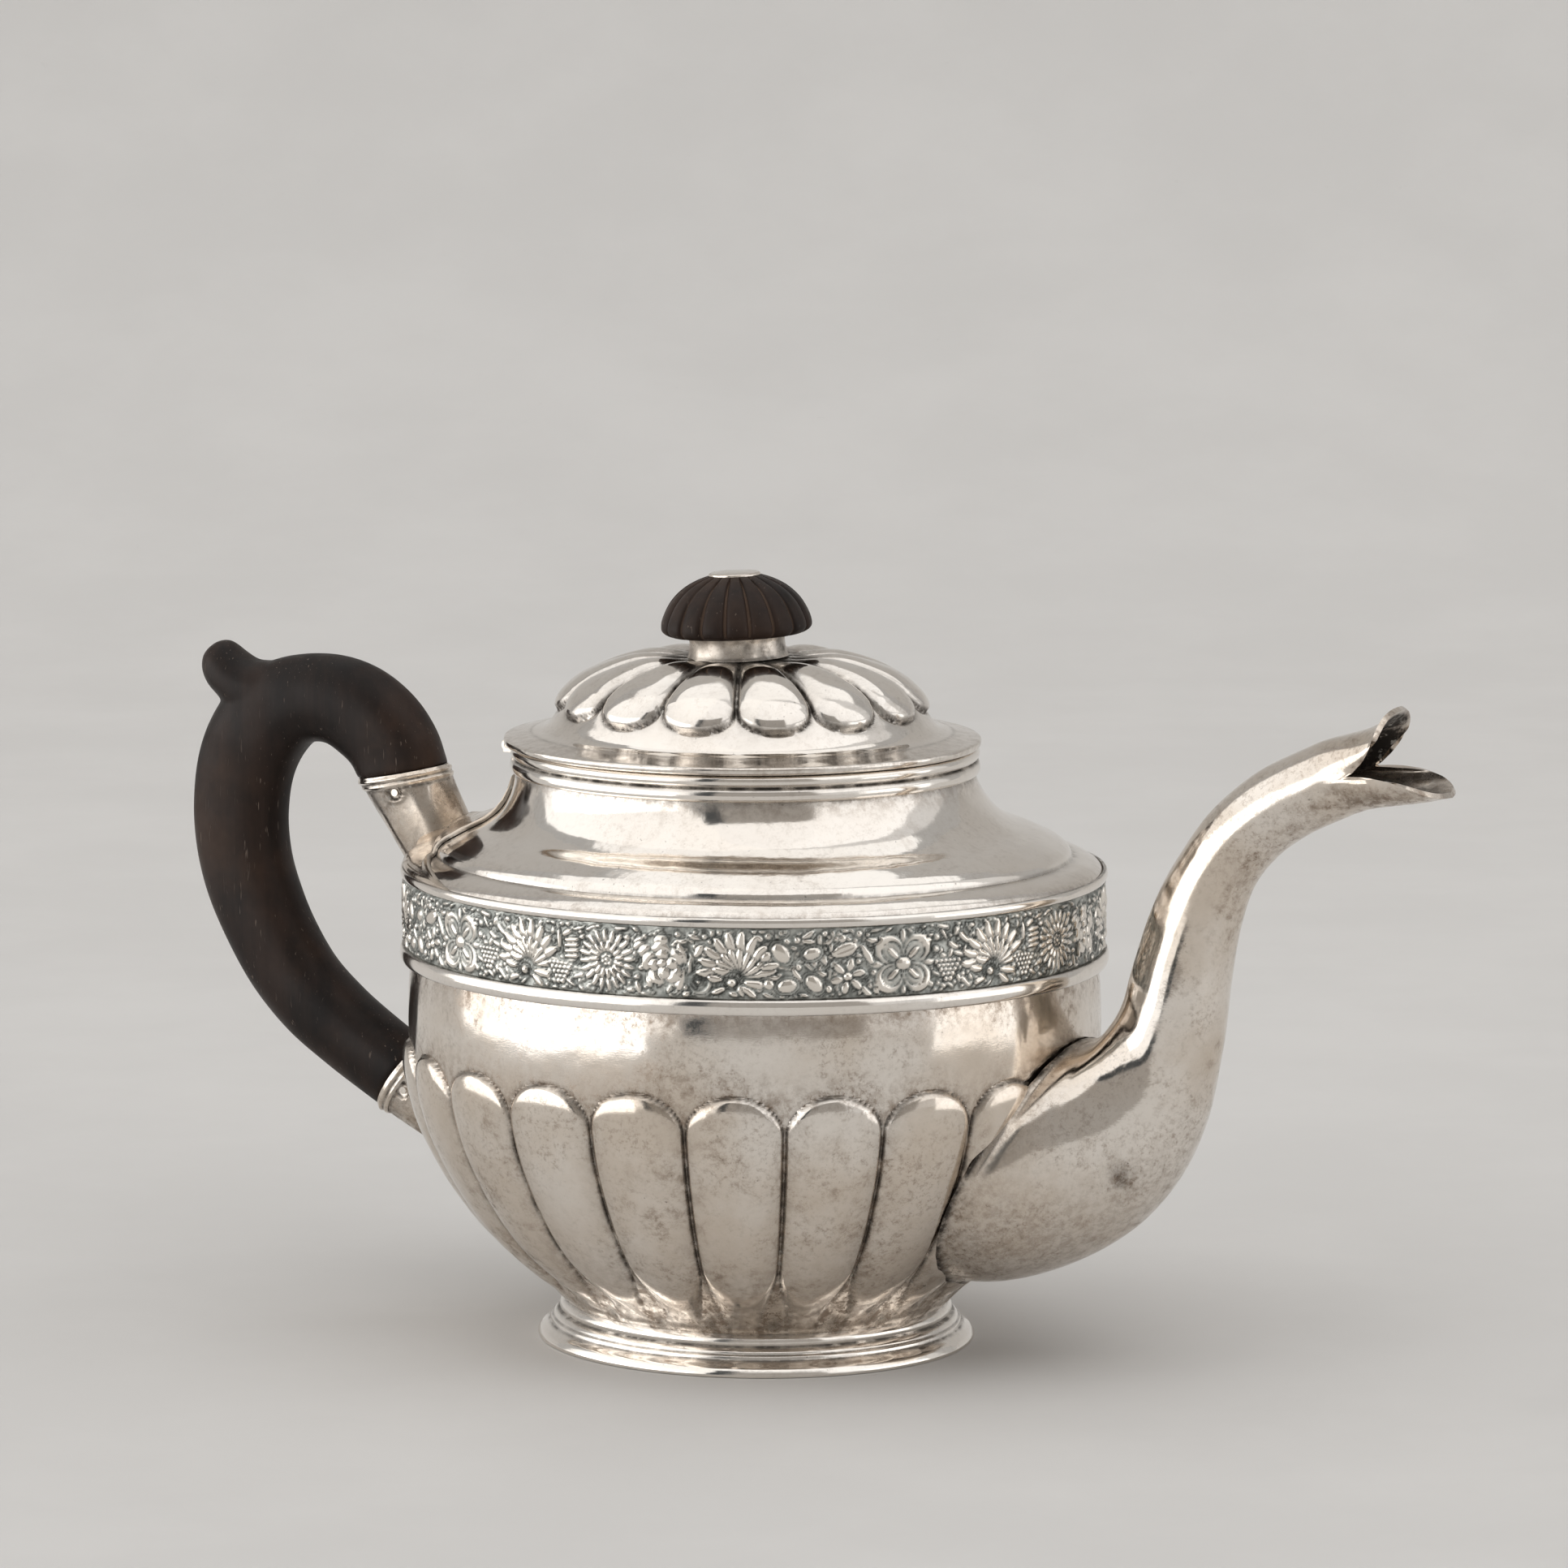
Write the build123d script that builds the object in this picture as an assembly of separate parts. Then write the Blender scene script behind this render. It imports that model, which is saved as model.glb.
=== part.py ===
from build123d import *
import math
import os

# Oval silver teapot with a lobed bowl, a floral frieze, a hinged lid and wooden handle and knob.
# Millimetres, +Z up. The origin is the middle of the foot's resting plane. The spout points
# along +X and the handle along -X. Every horizontal section of the body is an ellipse, longer
# along X, so profiles are given as (half length along X, height) and squeezed along Y.

OVAL = 1.10             # body length along X divided by its width along Y
WALL = 1.0              # raised sheet of the bowl, shoulder and lid
SEAM = 0.02             # solder gap between curved faces of one body
EPS = 0.5               # how far a cutting tool runs past the face it cuts

FOOT_TOP = 8.4          # where the bowl stands on the foot ring
BOWL_TOP = 103.4        # where the shoulder stands on the bowl
BOWL_WALL = 77.0        # half length of the bowl's wall behind the frieze
BOWL_FLOOR = 9.6        # inside of the bowl's bottom
FRIEZE_REACH = 77.7     # half length over the frieze
FRIEZE_LOW = 86.8       # the frieze lies between the two half-round bands
FRIEZE_HIGH = 102.0
LOWER_BAND_REACH = 78.3
LOWER_BAND_LOW = 83.5
UPPER_BAND_REACH = 78.0
UPPER_BAND_HIGH = 104.0
BAND_ROUND = 0.6        # height of a band's rounded edge
BAND_EDGE = 0.5         # and how far that edge lies behind the band's front
GIRDLE_GAP = 0.1        # between the upper band and the handle's upper socket
NECK_TOP = 124.4        # where the rim collar stands on the neck
NECK_SHIFT = -1.8       # the mouth is set towards the handle
RIM_TOP = 130.2
LID_SEAT = 130.45       # underside of the lid's flange
LID_SHIFT = -2.4
NECK_WALL = 1.2
NECK_FOOT_WALL = 1.6    # thicker where the neck meets the shoulder
RIM_INNER = 49.3
LID_TOP = 150.2

HINGE_X = -53.0
HINGE_Z = 129.0
KNUCKLE_R = 1.3
KNUCKLE_LEN = 5.0
KNUCKLE_PITCH = 5.2
HINGE_PIN_R = 0.6
HINGE_BORE_R = 0.65
HINGE_TAB = 1.8         # thickness of the tabs that carry the knuckles
HINGE_PIN_SHORT = 0.2   # the pin ends this far inside the outermost knuckles' pitch
NOTCH_Y = 13.3          # half width of the hinge's notch in the rim collar
NOTCH_Z = 127.45
NOTCH_DEPTH = 6.0       # along X, right through the rim collar

KNOB_X = -3.3
KNOB_TILT = -2.2        # degrees, the knob leans towards the handle
KNOB_BASE = 154.2
KNOB_TOP = 166.9
KNOB_R = 16.2
STEM_R = 1.6
STEM_BORE_R = 1.65
CAP_RECESS_DEPTH = 0.5
CAP_GAP = 0.05          # round the silver disc

PIN_R = 0.8             # pins through the handle's two sockets
PIN_HOLE_R = 1.4
PIN_PLACE = 0.3         # how far along the tenon its pin lies
PIN_SHORT = 0.5         # a pin ends this far inside the socket's widest half
TENON = 14.0            # how deep the wood enters a socket
TENON_GAP = 0.5         # between the lower tenon and the bowl
BAND_HEIGHT = 2.6       # moulded wire round each socket's open end
BAND_SWELL = 0.7        # how far that wire stands out

STRAINER_R = 1.5
STRAINER_PITCH = 6.0
STRAINER_ROW_RISE = 5.2
STRAINER_MIDDLE = 46.0  # height of its middle row
STRAINER_SPAN = (60.0, 84.0)    # from inside the bowl to inside the spout

BEZEL_INNER = 47.0
BEZEL_OUTER = 48.0
BEZEL_LOW = 125.4
COLLAR_R = 10.5         # silver collar under the knob
CAP_R = 5.15            # silver disc on top of the knob
NUT_R = 4.2
NUT_LOW = -4.0          # the nut hangs this far below the lid's top
NUT_HEIGHT = 2.9
STEM_LOW = 145.2

# Outer profiles: (half length along X, height)
FOOT_PROFILE = [(48.4, 0.0), (48.5, 0.9), (47.8, 2.2), (46.2, 3.0), (45.3, 3.6), (45.1, 4.4),
                (44.4, 5.4), (43.6, 6.0), (43.3, 7.4), (42.6, 8.4)]
BOWL_PROFILE = [(42.6, 8.4), (47.1, 12.9), (51.4, 16.6), (56.3, 21.0), (60.6, 25.4), (64.9, 30.9),
                (68.6, 36.6), (71.7, 42.4), (74.2, 48.0), (76.0, 54.0), (77.3, 61.0), (77.7, 68.0),
                (77.6, 78.0), (77.0, 83.5)]
SHOULDER_PROFILE = [(77.0, 103.4), (76.3, 104.6), (74.0, 105.9), (70.4, 106.9), (69.6, 108.4),
                    (68.1, 109.6), (63.6, 111.6)]
NECK_PROFILE = [(63.6, 111.6), (58.6, 113.5), (55.2, 115.8), (52.8, 118.8), (51.3, 121.8),
                (50.6, 124.4)]
LID_PROFILE = [(52.6, 132.0), (46.5, 133.2), (43.4, 134.3), (41.2, 137.6), (38.6, 141.4),
               (34.8, 144.6), (29.0, 147.2), (20.0, 149.3), (8.0, 150.2)]

# Spout and handle sections: lower or outer point, upper or inner point (x, z), half width along Y
SPOUT_SECTIONS = [((44.0, 17.0), (66.0, 67.0), 33.0), ((62.0, 17.6), (78.5, 70.5), 31.0),
                  ((77.0, 22.8), (83.0, 72.8), 25.5), ((89.5, 30.8), (85.4, 75.6), 20.5),
                  ((99.0, 41.5), (87.2, 78.8), 16.5), ((104.5, 52.5), (88.4, 82.3), 13.8),
                  ((107.6, 64.0), (89.4, 87.0), 12.3), ((109.6, 77.0), (90.8, 92.0), 11.3),
                  ((111.0, 88.0), (92.7, 98.0), 10.2), ((112.8, 97.0), (95.6, 104.8), 9.2),
                  ((116.0, 106.0), (100.6, 113.2), 8.6), ((121.5, 113.0), (107.4, 122.6), 8.4),
                  ((129.0, 118.5), (117.2, 130.9), 8.4), ((138.0, 122.9), (129.5, 137.4), 8.6),
                  ((146.0, 125.4), (139.5, 139.6), 9.2)]
LIP_SECTIONS = [((146.0, 125.4), (139.5, 139.6), 9.2), ((152.0, 126.0), (148.6, 138.6), 10.8),
                ((157.2, 126.4), (155.4, 134.6), 8.4), ((160.6, 127.4), (160.0, 131.8), 4.2)]
BEAK_GAPE = [(140.4, 132.5), (147.7, 132.3), (151.6, 131.7), (154.8, 130.6), (158.0, 129.0),
             (170.0, 129.0), (170.0, 150.0), (145.8, 150.0), (145.4, 138.2), (143.2, 135.2)]
LEAF_SECTIONS = [((135.6, 137.9), (135.3, 138.9), 7.0), ((140.2, 138.8), (139.9, 139.9), 8.2),
                 ((143.8, 139.7), (143.2, 140.7), 9.8), ((146.3, 141.8), (145.5, 142.5), 10.0),
                 ((148.2, 144.0), (147.4, 144.6), 8.0), ((149.5, 145.9), (148.8, 146.4), 3.6)]
HANDLE_SECTIONS = [((-75.2, 121.6), (-95.4, 117.8), 8.6), ((-77.9, 129.0), (-97.2, 120.8), 8.5),
                   ((-83.0, 136.0), (-100.0, 123.0), 8.5), ((-91.0, 141.8), (-103.0, 124.8), 8.5),
                   ((-100.0, 144.6), (-105.8, 125.2), 8.5), ((-110.0, 144.6), (-108.5, 124.5), 8.5),
                   ((-119.0, 142.3), (-111.3, 121.5), 8.5), ((-127.0, 137.0), (-113.4, 117.8), 8.5),
                   ((-132.6, 129.5), (-114.6, 114.0), 8.5), ((-135.9, 121.0), (-115.2, 110.0), 8.5),
                   ((-137.3, 110.0), (-115.4, 105.0), 8.5), ((-136.7, 100.0), (-114.6, 98.5), 8.5),
                   ((-134.2, 90.0), (-112.6, 92.0), 8.5), ((-129.5, 79.8), (-109.4, 84.7), 8.5),
                   ((-122.7, 68.9), (-104.0, 76.3), 8.5), ((-114.0, 59.6), (-97.4, 70.0), 8.5),
                   ((-104.0, 52.3), (-91.0, 65.2), 8.3), ((-91.0, 44.2), (-81.0, 58.5), 8.2)]
SPUR_SECTIONS = [((-117.0, 141.5), (-125.0, 128.5), 7.4), ((-122.6, 142.7), (-130.4, 133.6), 7.0),
                 ((-125.8, 144.6), (-133.4, 137.2), 6.4), ((-128.0, 146.3), (-134.6, 140.4), 5.4),
                 ((-130.6, 146.9), (-134.5, 143.6), 3.2)]
UPPER_SOCKET = [((-75.2, 121.6), (-95.4, 117.8), 8.9), ((-73.0, 117.2), (-92.6, 113.0), 8.6),
                ((-66.6, 104.0), (-82.4, 97.6), 7.4)]
LOWER_SOCKET = [((-91.2, 43.91), (-80.8, 58.79), 8.5), ((-88.6, 42.4), (-78.3, 56.6), 8.1),
                ((-66.5, 30.2), (-57.0, 44.0), 7.2)]

# Half outline, seen from above, of the saddle plate under the upper socket
SADDLE_OUTLINE = [(-44.0, 0.0), (-44.0, 15.0), (-49.5, 17.0), (-53.4, 20.5), (-57.0, 25.0),
                  (-61.0, 30.0), (-59.0, 38.0), (-54.0, 46.5), (-48.0, 54.0), (-42.5, 60.5),
                  (-62.0, 60.0), (-84.0, 36.0), (-90.0, 0.0)]
SADDLE_SHEET = 1.0
SADDLE_LOW = BOWL_TOP + 0.4
SADDLE_HIGH = NECK_TOP - 0.3

LOFT_SPANS = 3
SECTION_POINTS = 16      # points that shape each section of the spout and handle


def squeeze(solid):
    return scale(solid, by=(1, 1 / OVAL, 1))


def turned(points):
    """Polygonal ring profile turned about Z and squeezed."""
    face = make_face(Plane.XZ * Polyline(*points, close=True))
    return squeeze(revolve(face, Axis.Z, 360))


def round_turned(points):
    """As turned, without the squeeze, for parts that are round."""
    face = make_face(Plane.XZ * Polyline(*points, close=True))
    return revolve(face, Axis.Z, 360)


def inset(points, distance):
    """Points moved inwards, square to the profile that they lie on."""
    moved = []
    last = len(points) - 1
    for i, (a, z) in enumerate(points):
        before = points[max(i - 1, 0)]
        after = points[min(i + 1, last)]
        run = after[0] - before[0]
        rise = after[1] - before[1]
        length = math.hypot(run, rise)
        moved.append((a - distance * rise / length, z + distance * run / length))
    return moved


def oval_stack(points, low_shift, high_shift):
    """Loft through ovals whose centres move along X from low_shift to high_shift with height."""
    low = points[0][1]
    high = points[-1][1]
    ovals = []
    for a, z in points:
        part_way = (z - low) / (high - low)
        x = low_shift + (high_shift - low_shift) * part_way
        ovals.append(Plane((x, 0, z)) * Ellipse(a, a / OVAL))
    return loft(ovals, ruled=True)


def section(low, high, half_width, inset_by=0.0):
    """Elliptical section whose in-plane axis runs from low to high in the XZ plane."""
    span = Vector(high[0] - low[0], 0, high[1] - low[1])
    middle = Vector((low[0] + high[0]) / 2, 0, (low[1] + high[1]) / 2)
    half_span = span * (0.5 - inset_by / span.length)
    half_side = Vector(0, half_width - inset_by, 0)
    angles = [2 * math.pi * i / SECTION_POINTS for i in range(SECTION_POINTS)]
    points = [middle + half_span * math.cos(t) + half_side * math.sin(t) for t in angles]
    return make_face(Spline(*points, periodic=True))


def tube_body(sections, inset_by=0.0):
    """Smooth lofts of a few sections each, end to end, so that no loft turns too far."""
    faces = [section(*s, inset_by=inset_by) for s in sections]
    body = None
    for first in range(0, len(faces) - 1, LOFT_SPANS):
        piece = loft(faces[first:first + LOFT_SPANS + 1])
        body = piece if body is None else body + piece
    return body


def socket_axis(sections):
    """Middle of the first section, and the unit vector from it towards the last."""
    first, last = sections[0], sections[-1]
    start = Vector((first[0][0] + first[1][0]) / 2, 0, (first[0][1] + first[1][1]) / 2)
    end = Vector((last[0][0] + last[1][0]) / 2, 0, (last[0][1] + last[1][1]) / 2)
    return start, (end - start).normalized()


def rod(start, end, radius):
    axis = Vector(*end) - Vector(*start)
    return Solid.make_cylinder(radius, axis.length, Plane(origin=start, z_dir=axis))


def cross_rod(x, z, half_length, radius):
    return rod((x, -half_length, z), (x, half_length, z), radius)


# ---- body -----------------------------------------------------------------

def bowl_outer():
    points = [(0, FOOT_TOP)] + BOWL_PROFILE + [(BOWL_WALL, BOWL_TOP), (0, BOWL_TOP)]
    return turned(points)


def bowl_inner():
    inner = inset(BOWL_PROFILE, WALL)
    points = [(0, BOWL_FLOOR), (inner[0][0], BOWL_FLOOR)] + inner[1:]
    points += [(BOWL_WALL - WALL, BOWL_TOP + EPS), (0, BOWL_TOP + EPS)]
    return turned(points)


def strainer_holes():
    """Rows of small holes through the bowl's wall, behind the root of the spout."""
    holes = []
    for row in range(-2, 3):
        count = 5 - abs(row)
        for i in range(count):
            y = (i - (count - 1) / 2) * STRAINER_PITCH
            z = STRAINER_MIDDLE + row * STRAINER_ROW_RISE
            holes.append(rod((STRAINER_SPAN[0], y, z), (STRAINER_SPAN[1], y, z), STRAINER_R))
    return holes


def make_bowl():
    bowl = bowl_outer() - bowl_inner()
    for hole in strainer_holes():
        bowl -= hole
    return bowl


def make_foot():
    """Moulded ring, cut flat underneath so that it rests on a true plane."""
    below = -EPS
    inner = [(41.0, FOOT_TOP), (42.2, 5.4), (44.4, 2.6), (46.4, 1.2), (46.4, below)]
    ring = turned([(FOOT_PROFILE[0][0], below)] + FOOT_PROFILE + inner)
    return ring - Pos(0, 0, -FOOT_TOP / 2) * Box(3 * BOWL_WALL, 3 * BOWL_WALL, FOOT_TOP)


def make_band(reach, low, high):
    """Half-round wire soldered round the wall."""
    inner = BOWL_WALL + SEAM
    edge = reach - BAND_EDGE
    return turned([(inner, low), (edge, low), (reach, low + BAND_ROUND), (reach, high - BAND_ROUND),
                   (edge, high), (inner, high)])


def make_frieze():
    inner = BOWL_WALL + SEAM
    return turned([(inner, FRIEZE_LOW), (FRIEZE_REACH, FRIEZE_LOW), (FRIEZE_REACH, FRIEZE_HIGH),
                   (inner, FRIEZE_HIGH)])


def shoulder_outer():
    lower = turned([(0, BOWL_TOP)] + SHOULDER_PROFILE + [(0, SHOULDER_PROFILE[-1][1])])
    return lower + oval_stack(NECK_PROFILE, 0.0, NECK_SHIFT)


def make_shoulder():
    inner_low = inset(SHOULDER_PROFILE, WALL)
    inner_low[0] = (BOWL_WALL - WALL, BOWL_TOP - EPS)
    top = NECK_PROFILE[0][1]
    neck_foot = NECK_PROFILE[0][0] - NECK_FOOT_WALL
    inner_low[-1] = (neck_foot, top + SEAM)
    hollow = turned([(0, BOWL_TOP - EPS)] + inner_low + [(0, top + SEAM)])
    inner_high = [(a - NECK_WALL, z) for a, z in NECK_PROFILE]
    inner_high[0] = (neck_foot, top)
    inner_high.append((NECK_PROFILE[-1][0] - NECK_WALL, NECK_TOP + EPS))
    hollow += oval_stack(inner_high, 0.0, NECK_SHIFT)
    return shoulder_outer() - hollow


def make_rim():
    outer = [(50.6, NECK_TOP), (51.5, 124.8), (51.8, 125.9), (51.5, 127.0), (50.8, 127.5),
             (51.4, 128.0), (51.7, 129.0), (51.4, 129.8), (50.8, RIM_TOP)]
    ring = turned([(RIM_INNER, NECK_TOP)] + outer + [(RIM_INNER, RIM_TOP)])
    ring = Pos(NECK_SHIFT, 0, 0) * ring
    notch = Box(NOTCH_DEPTH, 2 * NOTCH_Y, RIM_TOP - NOTCH_Z + 2 * EPS)
    return ring - Pos(HINGE_X, 0, (NOTCH_Z + RIM_TOP) / 2 + EPS) * notch


# ---- spout ----------------------------------------------------------------

def make_spout(bowl_solid):
    outer = tube_body(SPOUT_SECTIONS) + tube_body(LIP_SECTIONS)
    bore = tube_body(SPOUT_SECTIONS, WALL) + tube_body(LIP_SECTIONS, WALL)
    gape = extrude(make_face(Plane.XZ * Polyline(*BEAK_GAPE, close=True)), amount=20, both=True)
    return outer - bore - gape + tube_body(LEAF_SECTIONS) - bowl_solid


# ---- handle ---------------------------------------------------------------

def socket_pin_place(sections):
    """Where a pin crosses a socket and the wood's end inside it."""
    start, along = socket_axis(sections)
    return start + along * (TENON * PIN_PLACE)


def tenon(sections):
    """The wood's end inside a socket, a slightly smaller copy of the socket's bore."""
    bore = tube_body(sections, WALL + SEAM)
    start, along = socket_axis(sections)
    reach = Plane(origin=start + along * TENON, z_dir=along)
    return split(bore, bisect_by=reach, keep=Keep.BOTTOM)


def make_handle(bowl_solid):
    wood = tube_body(HANDLE_SECTIONS) + tube_body(SPUR_SECTIONS)
    for sections in (UPPER_SOCKET, LOWER_SOCKET):
        wood += tenon(sections)
        place = socket_pin_place(sections)
        wood -= cross_rod(place.X, place.Z, 20, PIN_R + SEAM)
    return wood - Pos(-TENON_GAP, 0, 0) * bowl_solid


def make_socket(sections, keep_off):
    socket = tube_body(sections) - tube_body(sections, WALL)
    place = socket_pin_place(sections)
    socket -= cross_rod(place.X, place.Z, 20, PIN_HOLE_R)
    for solid in keep_off:
        socket -= solid
    return socket


def make_socket_band(sections):
    """Moulded wire round the open end of a socket, above the pin."""
    first = sections[0]
    start, along = socket_axis(sections)
    ring = extrude(section(*first, inset_by=-BAND_SWELL), amount=BAND_HEIGHT, dir=along)
    plug = extrude(section(*first, inset_by=-SEAM), amount=-EPS, dir=along)
    return ring - tube_body(sections, -SEAM) - plug


def make_pin(sections):
    place = socket_pin_place(sections)
    half = sections[0][2] - PIN_SHORT
    return cross_rod(place.X, place.Z, half, PIN_R)


def make_saddle(shoulder_solid):
    """Sheet under the upper socket: a tongue up the neck and a wing each way along the shoulder."""
    flat_out = 0.4 * SADDLE_SHEET       # outward part of the lift where the shoulder lies flat
    steep_out, steep_up = 0.8 * SADDLE_SHEET, 0.6 * SADDLE_SHEET
    lifted = [(a + flat_out, z + SADDLE_SHEET) for a, z in SHOULDER_PROFILE]
    lifted[0] = (BOWL_WALL, SADDLE_LOW)
    blanket = turned([(0, SADDLE_LOW)] + lifted + [(0, lifted[-1][1])])
    lifted_neck = [(a + steep_out, z + steep_up) for a, z in NECK_PROFILE[:-1]]
    lifted_neck[0] = (lifted[-1][0], lifted[-1][1])
    lifted_neck.append((NECK_PROFILE[-1][0] + SADDLE_SHEET, SADDLE_HIGH))
    blanket += oval_stack(lifted_neck, 0.0, NECK_SHIFT)
    mirrored = [(x, -y) for x, y in reversed(SADDLE_OUTLINE) if y > 0]
    outline = make_face(Polyline(*SADDLE_OUTLINE, *mirrored, close=True))
    prism = Pos(0, 0, 90) * extrude(outline, amount=50)
    return (blanket & prism) - shoulder_solid


# ---- lid ------------------------------------------------------------------

def lid_outer():
    points = [(0, LID_SEAT), (52.4, LID_SEAT), (52.6, LID_SEAT + 0.3)] + LID_PROFILE + [(0, LID_TOP)]
    return Pos(LID_SHIFT, 0, 0) * turned(points)


def lid_inner():
    inner = inset(LID_PROFILE[2:], WALL)
    points = [(0, LID_SEAT - EPS), (BEZEL_INNER, LID_SEAT - EPS), (BEZEL_INNER, LID_SEAT), (46.0, 131.6),
              (44.4, 132.4)] + inner[1:] + [(0, LID_TOP - WALL)]
    return Pos(LID_SHIFT, 0, 0) * turned(points)


def knob_place():
    """Frame of the knob: on the lid's top, leaning towards the handle."""
    return Location((KNOB_X, 0, LID_TOP), (0, KNOB_TILT, 0))


def make_lid():
    dome = lid_outer() - lid_inner()
    return dome - knob_place() * Pos(0, 0, -10) * Cylinder(STEM_BORE_R, 30)


def make_bezel():
    """Upright ring under the lid that drops inside the neck."""
    ring = turned([(BEZEL_INNER, BEZEL_LOW), (BEZEL_OUTER, BEZEL_LOW), (BEZEL_OUTER, LID_SEAT),
                   (BEZEL_INNER, LID_SEAT)])
    return Pos(LID_SHIFT, 0, 0) * ring


def knob_turned(points):
    """A round part of the knob; heights are above the lid's top."""
    raised = [(r, z - LID_TOP) for r, z in points]
    return knob_place() * round_turned(raised)


def make_knob_collar(lid_solid):
    skirt = LID_TOP - 1.5
    inner = COLLAR_R - 1.1
    ring = knob_turned([(inner, skirt), (COLLAR_R, skirt), (COLLAR_R - 0.2, LID_TOP + 1.0),
                        (COLLAR_R + 0.1, KNOB_BASE), (STEM_BORE_R, KNOB_BASE),
                        (STEM_BORE_R, KNOB_BASE - WALL), (inner, KNOB_BASE - WALL)])
    return ring - lid_solid


def make_knob():
    brim = KNOB_TOP + CAP_RECESS_DEPTH
    rim = [(12.4, KNOB_BASE), (14.8, 154.7), (16.0, 155.7), (KNOB_R, 157.0), (15.8, 159.4),
           (14.4, 162.2), (11.8, 164.8), (8.6, 166.4), (5.6, brim)]
    recess = CAP_R + CAP_GAP
    return knob_turned([(STEM_BORE_R, KNOB_BASE)] + rim + [(recess, brim), (recess, KNOB_TOP),
                                                          (STEM_BORE_R, KNOB_TOP)])


def make_knob_cap():
    return knob_turned([(0, KNOB_TOP), (CAP_R, KNOB_TOP), (CAP_R, KNOB_TOP + 0.7), (3.0, KNOB_TOP + 1.0),
                        (0, KNOB_TOP + 1.1)])


def make_knob_stem():
    return knob_turned([(0, STEM_LOW), (STEM_R, STEM_LOW), (STEM_R, KNOB_TOP), (0, KNOB_TOP)])


def make_knob_nut(lid_dome):
    blank = Pos(0, 0, NUT_LOW) * extrude(RegularPolygon(NUT_R, 6), amount=NUT_HEIGHT)
    nut = knob_place() * (blank - Cylinder(STEM_R + SEAM, 20))
    return nut - lid_dome


# ---- hinge ----------------------------------------------------------------

def knuckle_row(centres, tab_low, tab_high):
    """Separate hinge knuckles along the pin, each on a short tab between the two heights."""
    row = []
    tab_height = tab_high - tab_low
    for y in centres:
        barrel = cross_rod(HINGE_X, HINGE_Z, KNUCKLE_LEN / 2, KNUCKLE_R)
        tab = Pos(HINGE_X, 0, (tab_low + tab_high) / 2) * Box(HINGE_TAB, KNUCKLE_LEN, tab_height)
        bore = cross_rod(HINGE_X, HINGE_Z, KNUCKLE_LEN, HINGE_BORE_R)
        row.append(Pos(0, y, 0) * (barrel + tab - bore))
    return Compound(children=row)


def make_hinge_pin():
    return cross_rod(HINGE_X, HINGE_Z, 2.5 * KNUCKLE_PITCH - HINGE_PIN_SHORT, HINGE_PIN_R)


def build():
    bowl_solid = bowl_outer()
    neck_solid = shoulder_outer()
    lid_solid = lid_outer()
    saddle = make_saddle(neck_solid)
    lid_dome = make_lid()
    girdle_reach = UPPER_BAND_REACH + GIRDLE_GAP
    girdle_high = UPPER_BAND_HIGH + 2 * GIRDLE_GAP
    girdle = turned([(0, LOWER_BAND_LOW), (girdle_reach, LOWER_BAND_LOW), (girdle_reach, girdle_high),
                     (0, girdle_high)])
    outer_knuckles = [-2 * KNUCKLE_PITCH, 0, 2 * KNUCKLE_PITCH]
    inner_knuckles = [-KNUCKLE_PITCH, KNUCKLE_PITCH]
    return {
        "bowl": make_bowl(),
        "foot_ring": make_foot(),
        "lower_band": make_band(LOWER_BAND_REACH, LOWER_BAND_LOW, FRIEZE_LOW),
        "frieze_band": make_frieze(),
        "upper_band": make_band(UPPER_BAND_REACH, FRIEZE_HIGH, UPPER_BAND_HIGH),
        "shoulder": make_shoulder(),
        "rim_collar": make_rim(),
        "spout": make_spout(bowl_solid),
        "handle_wood": make_handle(bowl_solid),
        "upper_socket": make_socket(UPPER_SOCKET, [saddle, neck_solid, girdle]),
        "upper_socket_band": make_socket_band(UPPER_SOCKET),
        "upper_socket_saddle": saddle,
        "lower_socket": make_socket(LOWER_SOCKET, [bowl_solid]),
        "lower_socket_band": make_socket_band(LOWER_SOCKET),
        "upper_handle_pin": make_pin(UPPER_SOCKET),
        "lower_handle_pin": make_pin(LOWER_SOCKET),
        "pot_hinge_knuckles": knuckle_row(outer_knuckles, NOTCH_Z, HINGE_Z),
        "hinge_pin": make_hinge_pin(),
        "lid_hinge_knuckles": knuckle_row(inner_knuckles, HINGE_Z, LID_SEAT),
        "lid_dome": lid_dome,
        "lid_bezel": make_bezel(),
        "knob_collar": make_knob_collar(lid_solid),
        "knob_wood": make_knob(),
        "knob_cap": make_knob_cap(),
        "knob_stem": make_knob_stem(),
        "knob_nut": make_knob_nut(lid_dome),
    }


os.makedirs("parts", exist_ok=True)
for node, shape in build().items():
    export_step(shape, f"parts/{node}.step")
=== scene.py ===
"""The looks of a silver teapot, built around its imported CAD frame. Shapes are worked out in millimetres."""
import math

import bmesh
import bpy
import numpy as np
from mathutils import Matrix, Vector


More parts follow.
